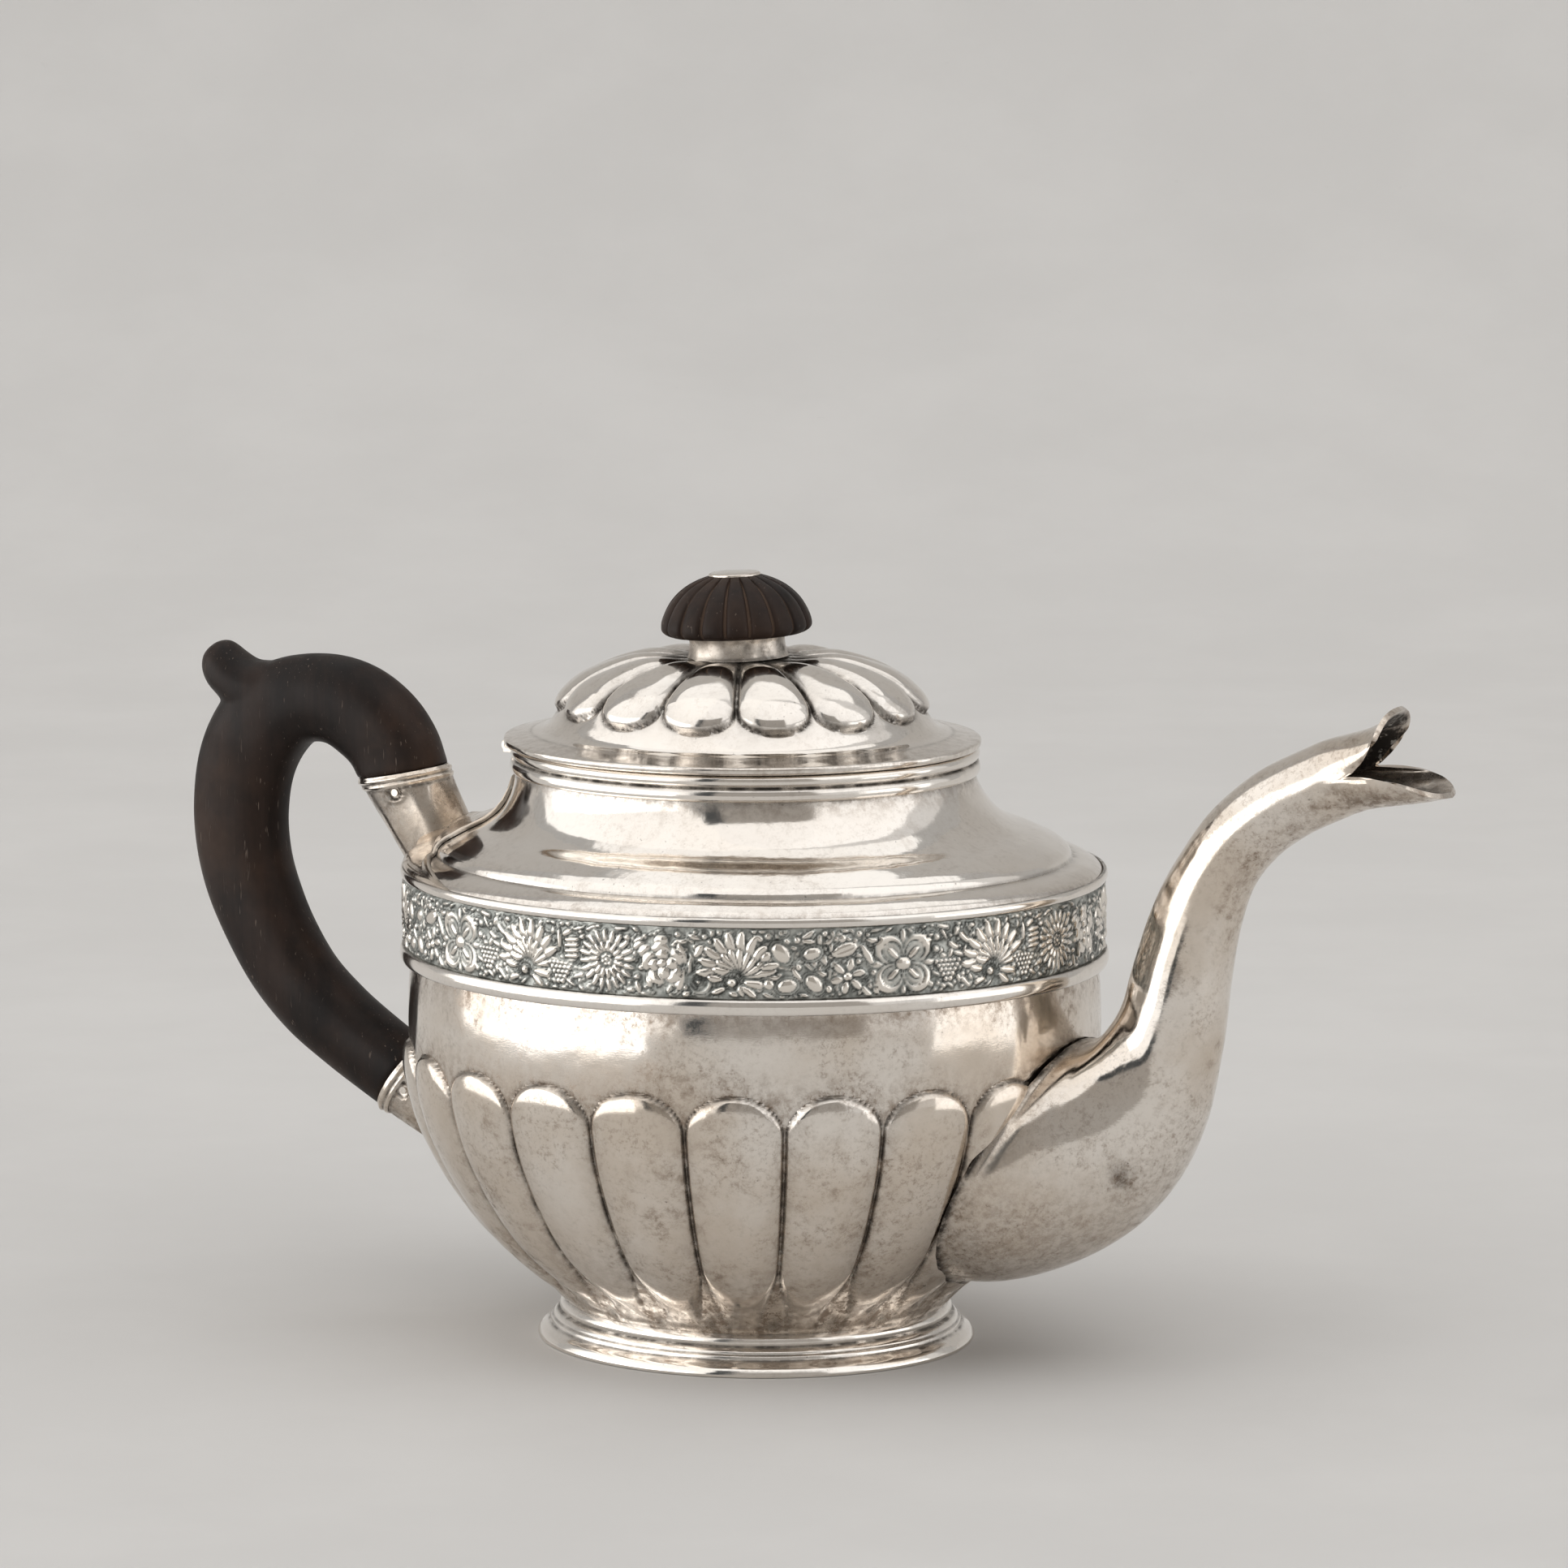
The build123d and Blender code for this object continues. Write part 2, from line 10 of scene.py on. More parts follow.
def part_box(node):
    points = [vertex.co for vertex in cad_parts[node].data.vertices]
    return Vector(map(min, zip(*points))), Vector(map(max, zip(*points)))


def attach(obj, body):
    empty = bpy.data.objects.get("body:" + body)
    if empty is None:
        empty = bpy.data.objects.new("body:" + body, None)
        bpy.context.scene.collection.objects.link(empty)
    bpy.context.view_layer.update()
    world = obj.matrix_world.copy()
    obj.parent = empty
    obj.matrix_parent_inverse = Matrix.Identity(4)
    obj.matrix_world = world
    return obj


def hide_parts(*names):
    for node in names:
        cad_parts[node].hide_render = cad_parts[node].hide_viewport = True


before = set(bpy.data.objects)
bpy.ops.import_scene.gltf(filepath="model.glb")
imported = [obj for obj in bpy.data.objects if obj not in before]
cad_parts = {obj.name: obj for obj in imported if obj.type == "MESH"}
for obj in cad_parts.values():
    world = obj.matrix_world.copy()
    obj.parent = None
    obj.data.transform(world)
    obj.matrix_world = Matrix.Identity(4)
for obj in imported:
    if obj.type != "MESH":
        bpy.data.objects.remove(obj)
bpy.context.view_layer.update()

scene = bpy.context.scene
MM = 0.001
OVAL = 1.10                     # length of the pot across its width
TURN = 2 * math.pi


def span(node, axis):
    """The lowest and highest coordinate of a CAD node along an axis, in mm."""
    low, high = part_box(node)
    return low[axis] / MM, high[axis] / MM


# ---------------------------------------------------------------- numbers and lines

def lattice_noise(points, size, seed):
    """Smooth noise from -1 to 1 at points in mm, with lumps about as large as size."""
    cells = 24
    table = np.random.default_rng(seed).uniform(-1, 1, (cells, cells, cells))
    place = np.asarray(points, float) / size + 0.37
    cell = np.floor(place).astype(int)
    part = place - cell
    part = part * part * (3 - 2 * part)
    total = np.zeros(place.shape[:-1])
    for corner in np.ndindex(2, 2, 2):
        weight = np.ones(place.shape[:-1])
        for axis in range(3):
            weight = weight * (part[..., axis] if corner[axis] else 1 - part[..., axis])
        index = tuple((cell[..., axis] + corner[axis]) % cells for axis in range(3))
        total += weight * table[index]
    return total


def smoothstep(value, low, high):
    t = np.clip((value - low) / (high - low), 0, 1)
    return t * t * (3 - 2 * t)


def bell(value, centre, width):
    """1 where value is at centre, falling away over about width."""
    return np.exp(-((value - centre) / width) ** 2)


def unit(vectors):
    return vectors / np.linalg.norm(vectors, axis=1)[:, None]


def lengths(line):
    """Length along a line at each of its points."""
    return np.r_[0, np.cumsum(np.linalg.norm(np.diff(line, axis=0), axis=1))]


def read_line(at, length, line):
    """Points of a line at the given lengths along it."""
    return np.stack([np.interp(at, length, line[:, k]) for k in range(line.shape[1])], axis=-1)


def blend(t, start, leave, end, arrive):
    """A smooth run from start to end, which leaves and arrives in the given directions."""
    return ((2 * t**3 - 3 * t**2 + 1) * start + (t**3 - 2 * t**2 + t) * leave
            + (3 * t**2 - 2 * t**3) * end + (t**3 - t**2) * arrive)


def curve_through(points, stations):
    """A smooth line through the points, read at stations from 0, the first point, to 1, the last."""
    p = np.asarray(points, float)
    knots = np.r_[0, np.cumsum(np.sqrt(np.linalg.norm(np.diff(p, axis=0), axis=1)))]
    slopes = np.gradient(p, knots, axis=0)
    where = np.asarray(stations) * knots[-1]
    k = np.clip(np.searchsorted(knots, where, side="right") - 1, 0, len(knots) - 2)
    h = (knots[k + 1] - knots[k])[:, None]
    t = ((where - knots[k]) / (knots[k + 1] - knots[k]))[:, None]
    return blend(t, p[k], h * slopes[k], p[k + 1], h * slopes[k + 1])


def even_line(points, step):
    """A smooth line through the points, with its own points about step apart."""
    dense = curve_through(points, np.linspace(0, 1, 60 * len(points)))
    length = lengths(dense)
    count = max(2, int(round(length[-1] / step)) + 1)
    return read_line(np.linspace(0, length[-1], count), length, dense)


def profile(*stretches):
    """Joins (step, points) stretches, each smooth, at crisp corners."""
    lines = [even_line(points, step) for step, points in stretches]
    return np.concatenate([lines[0]] + [line[1:] for line in lines[1:]])


def line_normals(line):
    """Unit normals of a line in the (across, up) plane, to the right of its run."""
    run = np.gradient(line, axis=0)
    normal = np.stack([run[:, 1], -run[:, 0]], axis=-1)
    return unit(normal)


def turned(line, angles, shift=0.0):
    """A grid of columns round the oval: line gives (half length along X, height)."""
    reach, height = line[:, 0], line[:, 1]
    c, s = np.cos(angles)[:, None], np.sin(angles)[:, None]
    x = reach * c + shift
    return np.stack([x, reach * s / OVAL, np.broadcast_to(height, x.shape)], axis=-1)


def grid_normals(grid):
    """Unit normals of a grid that closes round its columns."""
    round_way = np.roll(grid, -1, axis=0) - np.roll(grid, 1, axis=0)
    along = np.gradient(grid, axis=1)
    normal = np.cross(round_way, along)
    size = np.linalg.norm(normal, axis=-1, keepdims=True)
    return normal / np.maximum(size, 1e-9)


# ---------------------------------------------------------------- meshes

def grid_faces(columns, rows, close_columns=True, close_rows=False, start=0):
    i = np.arange(columns if close_columns else columns - 1)
    j = np.arange(rows if close_rows else rows - 1)
    i, j = np.meshgrid(i, j, indexing="ij")
    i2, j2 = (i + 1) % columns, (j + 1) % rows
    faces = np.stack([i * rows + j, i2 * rows + j, i2 * rows + j2, i * rows + j2], axis=-1)
    return faces.reshape(-1, 4) + start


SHARP = 38.0                    # degrees above which an edge stays crisp


def make_piece(name, points, faces, material, body, replaces, marks=None, sharp=SHARP):
    """A mesh piece from points in mm and lists of faces, which rides on body and stands for CAD nodes."""
    mesh = bpy.data.meshes.new(name)
    corners = [tuple(f) for group in faces for f in np.asarray(group).tolist()]
    mesh.from_pydata((np.asarray(points) * MM).tolist(), [], corners)
    for key, values in (marks or {}).items():
        layer = mesh.attributes.new(key, "FLOAT", "POINT")
        layer.data.foreach_set("value", np.asarray(values, np.float32).ravel())
    tidy = bmesh.new()
    tidy.from_mesh(mesh)
    loose = [v for v in tidy.verts if not v.link_faces]
    bmesh.ops.delete(tidy, geom=loose, context="VERTS")
    bmesh.ops.recalc_face_normals(tidy, faces=tidy.faces)
    tidy.to_mesh(mesh)
    tidy.free()
    mesh.shade_smooth()
    mesh.set_sharp_from_angle(angle=math.radians(sharp))
    piece = bpy.data.objects.new(name, mesh)
    scene.collection.objects.link(piece)
    mesh.materials.append(material)
    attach(piece, body)
    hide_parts(*replaces)
    return piece


def ring_piece(name, grid, material, body, replaces, marks, sharp=SHARP):
    """A closed ring: the grid closes both ways."""
    columns, rows, _ = grid.shape
    faces = [grid_faces(columns, rows, True, True)]
    make_piece(name, grid.reshape(-1, 3), faces, material, body, replaces, marks, sharp)


def closed_ends(grid):
    """Points and faces of a grid closed round its columns, each end of its rows drawn to one point."""
    columns, rows, _ = grid.shape
    points = np.concatenate([grid.reshape(-1, 3), grid[:, 0].mean(0)[None], grid[:, -1].mean(0)[None]])
    first = columns * rows
    i = np.arange(columns)
    i2 = (i + 1) % columns
    start_fan = np.stack([i * rows, i2 * rows, np.full(columns, first)], axis=-1)
    end_fan = np.stack([i2 * rows + rows - 1, i * rows + rows - 1, np.full(columns, first + 1)], axis=-1)
    return points, [grid_faces(columns, rows), start_fan, end_fan]


def capped_piece(name, grid, material, body, replaces, marks):
    points, faces = closed_ends(grid)
    marks = {key: np.r_[values.ravel(), values[:, 0].mean(), values[:, -1].mean()]
             for key, values in marks.items()}
    make_piece(name, points, faces, material, body, replaces, marks)


# ---------------------------------------------------------------- materials

class Nodes:
    """Short calls for building the nodes of a material, or of the world."""

    def __init__(self, owner, place="Object"):
        owner.use_nodes = True
        self.owner = owner
        self.tree = owner.node_tree
        self.shader = self.tree.nodes.get("Principled BSDF")
        self.place = self.tree.nodes.new("ShaderNodeTexCoord").outputs[place]

    def link(self, source, target):
        self.tree.links.new(source, target)

    def noise(self, scale, detail=4.0, rough=0.55, stretch=None, distortion=0.0):
        """Noise with about scale lumps a metre, stretched along an axis if asked."""
        node = self.tree.nodes.new("ShaderNodeTexNoise")
        node.inputs["Scale"].default_value = scale
        node.inputs["Detail"].default_value = detail
        node.inputs["Roughness"].default_value = rough
        node.inputs["Distortion"].default_value = distortion
        source = self.place
        if stretch:
            mapping = self.tree.nodes.new("ShaderNodeMapping")
            mapping.inputs["Scale"].default_value = stretch
            self.link(source, mapping.inputs["Vector"])
            source = mapping.outputs["Vector"]
        self.link(source, node.inputs["Vector"])
        return node.outputs["Fac"]

    def ramp(self, value, low, high, low_out=0.0, high_out=1.0):
        node = self.tree.nodes.new("ShaderNodeMapRange")
        node.interpolation_type = "SMOOTHSTEP"
        limits = {"From Min": low, "From Max": high, "To Min": low_out, "To Max": high_out}
        for key, number in limits.items():
            node.inputs[key].default_value = number
        self.link(value, node.inputs["Value"])
        return node.outputs["Result"]

    def math(self, kind, a, b=0.0):
        node = self.tree.nodes.new("ShaderNodeMath")
        node.operation = kind
        for socket, value in zip(node.inputs, (a, b)):
            if isinstance(value, (int, float)):
                socket.default_value = value
            else:
                self.link(value, socket)
        return node.outputs[0]

    def mix(self, factor, a, b):
        node = self.tree.nodes.new("ShaderNodeMix")
        node.data_type = "RGBA"
        self.link(factor, node.inputs["Factor"])
        for socket, value in zip((node.inputs[6], node.inputs[7]), (a, b)):
            if isinstance(value, tuple):
                socket.default_value = (*value, 1.0)        # opaque
            else:
                self.link(value, socket)
        return node.outputs[2]

    def mark(self, name):
        node = self.tree.nodes.new("ShaderNodeAttribute")
        node.attribute_name = name
        return node.outputs["Fac"]

    def bump(self, height, distance, strength=1.0, under=None):
        node = self.tree.nodes.new("ShaderNodeBump")
        node.inputs["Strength"].default_value = strength
        node.inputs["Distance"].default_value = distance
        self.link(height, node.inputs["Height"])
        if under is not None:
            self.link(under, node.inputs["Normal"])
        return node.outputs["Normal"]


SILVER = (0.90, 0.865, 0.82)
FILM = (0.66, 0.565, 0.465)
BROWN = (0.27, 0.205, 0.155)
DEPOSIT_AND_SHADE = (0.060, 0.052, 0.045)
CHALK = (0.52, 0.50, 0.46)


def silver_material(name, film=0.5, waves=1.0, grooves=False, rough=0.06):
    """Polished silver: a warm film, brown mottling, hammer waves, and dark deposit in its grooves; on the
    spout its film and cavity marks also carry painted shade.
    """
    n = Nodes(bpy.data.materials.new(name))
    film_noise = n.ramp(n.noise(26, 6, 0.62), 0.34, 0.66)
    film_mask = n.math("ADD", n.math("MULTIPLY", film_noise, 0.65 * film), 0.30 * film)
    mottle = n.ramp(n.noise(210, 10, 0.80, distortion=0.3), 0.48, 0.66)
    stain_area = n.ramp(n.noise(38, 4, 0.6), 0.46, 0.64)
    stains_and_shade = n.math("MULTIPLY", n.math("MULTIPLY", mottle, stain_area), 0.70 * film)
    speckle = n.ramp(n.noise(760, 6, 0.78), 0.47, 0.66, 0.0, 0.62 * film)
    patch = n.ramp(n.noise(62, 6, 0.66), 0.40, 0.62, 0.15, 1.0)
    stains_and_shade = n.math("ADD", stains_and_shade, n.math("MULTIPLY", speckle, patch))
    if grooves:
        worn = n.ramp(n.noise(420, 10, 0.80), 0.42, 0.60, 0.10, 0.90)
        # The film mark is mostly tarnish; on the spout's underside it also carries painted shade.
        stains_and_shade = n.math("ADD", stains_and_shade, n.math("MULTIPLY", n.mark("film"), worn))
    stains_and_shade = n.math("MINIMUM", stains_and_shade, 0.92)
    specks = n.ramp(n.noise(900, 3, 0.5), 0.68, 0.76, 0.0, 0.6)
    colour = n.mix(film_mask, SILVER, FILM)
    colour = n.mix(stains_and_shade, colour, BROWN)
    colour = n.mix(n.math("MULTIPLY", specks, stain_area), colour, DEPOSIT_AND_SHADE)
    gloss = n.math("ADD", n.ramp(n.noise(70, 6, 0.65), 0.35, 0.75, rough, rough + 0.06),
                   n.math("MULTIPLY", stains_and_shade, 0.30))
    if grooves:
        broken = n.ramp(n.noise(230, 6, 0.72), 0.34, 0.60, 0.30, 1.0)
        # The cavity mark is mostly deposit in grooves; inside the spout's mouth it carries painted shade.
        dirt = n.math("MULTIPLY", n.mark("cavity"), broken)
        chalk = n.math("MULTIPLY", n.mark("cavity"), n.ramp(n.noise(520, 3, 0.6), 0.60, 0.68, 0.0, 0.75))
        colour = n.mix(dirt, colour, DEPOSIT_AND_SHADE)
        colour = n.mix(chalk, colour, CHALK)
        gloss = n.math("ADD", gloss, n.math("MULTIPLY", dirt, 0.45))
    n.link(colour, n.shader.inputs["Base Color"])
    n.link(gloss, n.shader.inputs["Roughness"])
    n.shader.inputs["Metallic"].default_value = 1.0
    wave = n.bump(n.noise(75, 2.5, 0.5), 0.00035, 0.42 * waves)
    ripple = n.bump(n.noise(260, 3, 0.5), 0.00006, 0.30 * waves, wave)
    scratch = n.bump(n.noise(700, 3, 0.6, stretch=(1.0, 1.0, 6.0)), 0.00002, 0.22, ripple)
    fine = n.bump(n.noise(2600, 3, 0.6), 0.00001, 0.25, scratch)
    n.link(fine, n.shader.inputs["Normal"])
    return n.owner


def relief_material():
    """Stamped silver: bright worn heights on a grey-green oxidised ground."""
    n = Nodes(bpy.data.materials.new("oxidised_relief"))
    height = n.mark("height")
    worn = n.math("ADD", height, n.math("MULTIPLY", n.math("SUBTRACT", n.noise(500, 5, 0.6), 0.5), 0.35))
    bright = n.ramp(worn, 0.30, 0.66)
    ground = n.mix(n.ramp(n.noise(260, 4, 0.6), 0.4, 0.62), (0.24, 0.25, 0.235), (0.50, 0.51, 0.48))
    outline = n.math("MULTIPLY", n.mark("cavity"), n.ramp(n.noise(380, 3, 0.5), 0.3, 0.55, 0.35, 0.95))
    colour = n.mix(bright, ground, (0.84, 0.79, 0.72))
    colour = n.mix(outline, colour, (0.03, 0.03, 0.028))
    n.link(colour, n.shader.inputs["Base Color"])
    n.link(n.ramp(bright, 0.0, 1.0, 0.45, 0.16), n.shader.inputs["Roughness"])
    n.shader.inputs["Metallic"].default_value = 1.0
    n.link(n.bump(n.noise(1800, 3, 0.6), 0.00003, 0.4), n.shader.inputs["Normal"])
    return n.owner


def wood_material(name, along, dusty=False):
    """Oiled near-black hardwood with fine pale pores, and pale dust in its flutes if dusty."""
    n = Nodes(bpy.data.materials.new(name))
    grain = n.noise(55, 6, 0.6, stretch=along, distortion=0.25)
    pores = n.ramp(n.noise(1150, 2, 0.5, stretch=along), 0.66, 0.74)
    pore_area = n.ramp(n.noise(60, 3, 0.6), 0.42, 0.62, 0.15, 1.0)
    colour = n.mix(n.ramp(grain, 0.35, 0.72), (0.0055, 0.0032, 0.0026), (0.026, 0.0145, 0.0105))
    handled = n.ramp(n.noise(24, 5, 0.6), 0.46, 0.68, 0.0, 0.75)
    colour = n.mix(handled, colour, (0.058, 0.031, 0.019))
    pore_tone = n.math("MULTIPLY", n.math("MULTIPLY", pores, pore_area), 0.5)
    colour = n.mix(pore_tone, colour, (0.26, 0.20, 0.16))
    if dusty:
        dust = n.ramp(n.mark("cavity"), 0.45, 0.95, 0.0, 0.75)
        dust.node.interpolation_type = "LINEAR"
        colour = n.mix(dust, colour, (0.20, 0.14, 0.105))
    n.link(colour, n.shader.inputs["Base Color"])
    n.link(n.ramp(n.noise(90, 5, 0.6), 0.35, 0.7, 0.42, 0.58), n.shader.inputs["Roughness"])
    n.shader.inputs["Specular IOR Level"].default_value = 0.20
    deep = n.bump(n.math("SUBTRACT", 1.0, pores), 0.00008, 0.5)
    n.link(n.bump(grain, 0.0002, 0.25, deep), n.shader.inputs["Normal"])
    return n.owner


silver_bowl = silver_material("bowl_silver", film=0.85, waves=0.8, grooves=True)
silver_spout = silver_material("spout_silver", film=0.85, waves=1.5, grooves=True, rough=0.07)
silver_top = silver_material("top_silver", film=0.35, waves=1.3, grooves=True, rough=0.05)
silver_lid = silver_material("lid_silver", film=0.30, waves=0.9, grooves=True, rough=0.05)
silver_trim = silver_material("trim_silver", film=0.25, waves=0.9, grooves=True, rough=0.09)
silver_part = silver_material("fitting_silver", film=0.8, waves=0.4, rough=0.10)
relief_silver = relief_material()
handle_wood = wood_material("handle_hardwood", (1.6, 1.6, 0.16))
knob_fluted_wood = wood_material("knob_hardwood_fluted", (1.5, 1.5, 0.4), dusty=True)
silver_part_dirty = silver_material("collar_silver", film=0.9, waves=0.6, grooves=True, rough=0.16)
silver_socket = silver_material("socket_silver", film=1.0, waves=1.4, grooves=True, rough=0.10)


# ---------------------------------------------------------------- bowl

BOWL_FOOT, BOWL_TOP = span("bowl", 2)
WALL = 1.0
BOWL_PROFILE = [(42.6, 8.4), (47.1, 12.9), (51.4, 16.6), (56.3, 21.0), (60.6, 25.4), (64.9, 30.9),
                (68.6, 36.6), (71.7, 42.4), (74.2, 48.0), (76.0, 54.0), (77.3, 61.0), (77.7, 68.0),
                (77.6, 78.0), (77.0, 83.5)]
LOBES = 22
LOBE_START = math.radians(-29.5)        # the groove nearest the spout, on the near side
LOBE_RISE = 2.1
LOBE_SET_BACK = 1.22            # the grooves lie behind the smooth wall, the lobes' crests before it
ARCH_FOOT, ARCH_RISE = 57.0, 9.0        # where neighbouring arches part, and how far they climb
LOBE_COLUMNS = 26


def lobe_angles(lobes, start, columns, crowd=0.72):
    """Column angles, close together at the grooves between lobes."""
    s = np.arange(columns) / columns
    share = s - crowd * np.sin(TURN * s) / TURN
    return start + (np.arange(lobes)[:, None] + share).ravel() * TURN / lobes


def bowl_lobes(angles, reach, height):
    """How far each point of the wall is chased out, and how much dark deposit and brown film it holds."""
    pitch = TURN / LOBES
    share = ((angles - LOBE_START) / pitch) % 1.0
    across = np.abs(2 * share - 1)[:, None] * np.ones_like(height)
    arc = reach * np.hypot(np.sin(angles)[:, None], np.cos(angles)[:, None] / OVAL)
    half = arc * pitch / 2
    spread = 0.25 + 2.9 * smoothstep(-height, -25.0, -10.5)      # grooves widen at the foot
    side = (1 - across) * half - spread
    climb = np.clip((height - ARCH_FOOT) / ARCH_RISE, 0, 3)
    arch = (1 - np.hypot(across, climb)) * (half + ARCH_RISE) / 2 - 0.25
    inside = np.where(height > ARCH_FOOT, arch, side)
    top = np.clip(inside / 8.5, 0, 1)
    pad = np.sqrt(1 - (1 - top) ** 2)
    pillow = 0.70 * pad + 0.30 * (1 - across**2) * (inside > 0)
    fade = smoothstep(height, 10.5, 17.0) * (0.72 + 0.28 * smoothstep(height, 20.0, 48.0))
    rise = (LOBE_RISE * pillow - LOBE_SET_BACK) * fade
    line = bell(inside, 0, 0.42) * smoothstep(height, 12.0, 22.0)
    rise = rise - 0.30 * line
    stain = np.exp(-(np.abs(inside) / 1.6)) * 0.20 + bell(inside, 0, 0.36) * 0.75
    pits = bell(height, 10.4, 1.6) * np.exp(-((1 - across) * half / 1.5) ** 2)
    below = smoothstep(-height, -22.0, -14.0)
    stain = np.clip(stain * (1 - 0.65 * below) + 0.5 * pits, 0, 1) * (height < 70)
    outside = 1.0 * np.exp(inside / 3.4) * (inside < 0) * (height < 72)
    film = outside + 0.40 * np.exp(-inside / 1.7) * (inside >= 0)
    film = film + 0.60 * smoothstep(height, 75.5, 83.5) + 0.30 * smoothstep(-height, -36.0, -15.0)
    return rise - 0.3 * pits, stain, np.clip(film, 0, 1)


def strainer_holes():
    """Centres (y, z) of the rows of small holes behind the spout, in mm."""
    pitch, middle = 6.0, 46.0
    return [((i - (4 - abs(row)) / 2) * pitch, middle + row * pitch * 0.87)
            for row in range(-2, 3) for i in range(5 - abs(row))]


def make_bowl():
    angles = lobe_angles(LOBES, LOBE_START, LOBE_COLUMNS)
    wall = curve_through(BOWL_PROFILE, np.linspace(0, 1, 1200))
    rows = np.r_[np.linspace(BOWL_FOOT, 16, 18)[:-1], np.linspace(16, 55, 44)[:-1],
                 np.linspace(55, 67.6, 40)[:-1], np.linspace(67.6, 83.5, 10), np.linspace(86, 103.4, 5)]
    reach = np.interp(rows, wall[:, 1], wall[:, 0], right=77.0)
    floor = np.stack([np.linspace(1.0, reach[0], 14)[:-1], np.full(13, BOWL_FOOT)], axis=-1)
    line = np.concatenate([floor, np.stack([reach, rows], axis=-1)])
    normals = line_normals(line)
    outer = turned(line, angles)
    rise, dirt, film = bowl_lobes(angles, line[:, 0], np.broadcast_to(line[:, 1], outer.shape[:2]))
    dirt[:, :13] = 0.25
    direction = turned(normals, angles)
    wobble = 0.10 * lattice_noise(outer, 19, 3) + 0.05 * lattice_noise(outer, 8, 4)
    wobble = wobble * smoothstep(outer[..., 2], 12, 20) * (outer[..., 2] < 84)
    outer_skin = outer + direction * (rise + wobble)[..., None]
    inner_line = line - normals * WALL
    inner_line[:, 0] = np.maximum(inner_line[:, 0], 0.8)
    inner_skin = turned(inner_line, angles) + direction * (0.8 * rise + wobble)[..., None]
    inner_skin[:, -1, 2] = BOWL_TOP
    grid = np.concatenate([outer_skin, inner_skin[:, ::-1]], axis=1)
    marks = {"cavity": np.concatenate([dirt, 0.35 * dirt[:, ::-1] + 0.12], axis=1),
             "film": np.concatenate([film, film[:, ::-1]], axis=1)}
    columns, total = grid.shape[:2]
    faces = grid_faces(columns, total)
    fans, points = [], [grid.reshape(-1, 3)]
    i = np.arange(columns)
    for row, sign in ((0, 1), (total - 1, -1)):
        centre = np.full(columns, columns * total + len(fans))
        fan = np.stack([i * total + row, (i + 1) % columns * total + row, centre], axis=-1)
        fans.append(fan[:, ::sign])
        points.append(grid[:, row].mean(0)[None])
    points = np.concatenate(points)
    marks = {key: np.r_[values.ravel(), 0.2, 0.2] for key, values in marks.items()}
    faces, bridges = punch(points, faces, columns, total, len(line))
    make_piece("bowl_shell", points, [faces, bridges] + fans, silver_bowl, "pot", ["bowl"],
               marks)


def punch(points, faces, columns, total, outer_rows):
    """Opens the strainer's holes through both skins, and joins the skins at each hole's edge."""
    middle = points[faces].mean(axis=1)
    keep = np.ones(len(faces), bool)
    bridges = []
    radius = 1.5
    for y, z in strainer_holes():
        near = (middle[:, 0] > 0) & (np.hypot(middle[:, 1] - y, middle[:, 2] - z) < radius)
        row = faces[:, 0] % total
        outer = near & (row < outer_rows - 1)
        cut = faces[outer]
        edges = {}
        for face in cut.tolist():
            for a, b in zip(face, face[1:] + face[:1]):
                edges[(a, b)] = edges.get((a, b), 0) + 1
        rim = [(a, b) for a, b in edges if (b, a) not in edges]
        twin = {v: (v // total) * total + (total - 1 - v % total) for e in rim for v in e}
        for a, b in rim:
            bridges.append([a, b, twin[b], twin[a]])
        for v, other in twin.items():
            for p in (v, other):
                offset = points[p, 1:] - (y, z)
                points[p, 1:] = (y, z) + offset * radius / max(np.linalg.norm(offset), 1e-6)
        inner = {(f // total) * total + (total - 1 - f % total) for f in cut.ravel().tolist()}
        keep &= ~outer
        lined = np.isin(faces, list(inner)).all(axis=1) & (row >= outer_rows)
        keep &= ~(lined & near)
    return faces[keep], np.array(bridges)


# ---------------------------------------------------------------- foot, bands, shoulder, rim

RING_COLUMNS = 480


def ring_angles(count):
    return np.arange(count) * TURN / count


def round_outward(angles):
    """Level unit directions away from the middle at each angle, for a grid with these columns."""
    return np.stack([np.cos(angles), np.sin(angles), 0 * angles], axis=-1)[:, None]


def oval_outward(angles):
    """Level unit directions that stand square to the oval at each angle."""
    return unit(np.stack([np.cos(angles), np.sin(angles) * OVAL, 0 * angles], axis=-1))


def turned_ring(name, line, node, wobble, seed, hollows):
    """A silver ring whose closed outline is turned round the oval, with a slight hand-made unevenness."""
    angles = ring_angles(RING_COLUMNS)
    grid = turned(line, angles)
    uneven = wobble * lattice_noise(grid, 14, seed) + 0.5 * wobble * lattice_noise(grid, 5, seed + 1)
    grid = grid + oval_outward(angles)[:, None] * uneven[..., None]
    marks = {"cavity": np.broadcast_to(hollows, grid.shape[:2])}
    ring_piece(name, grid, silver_trim, "pot", [node], marks)


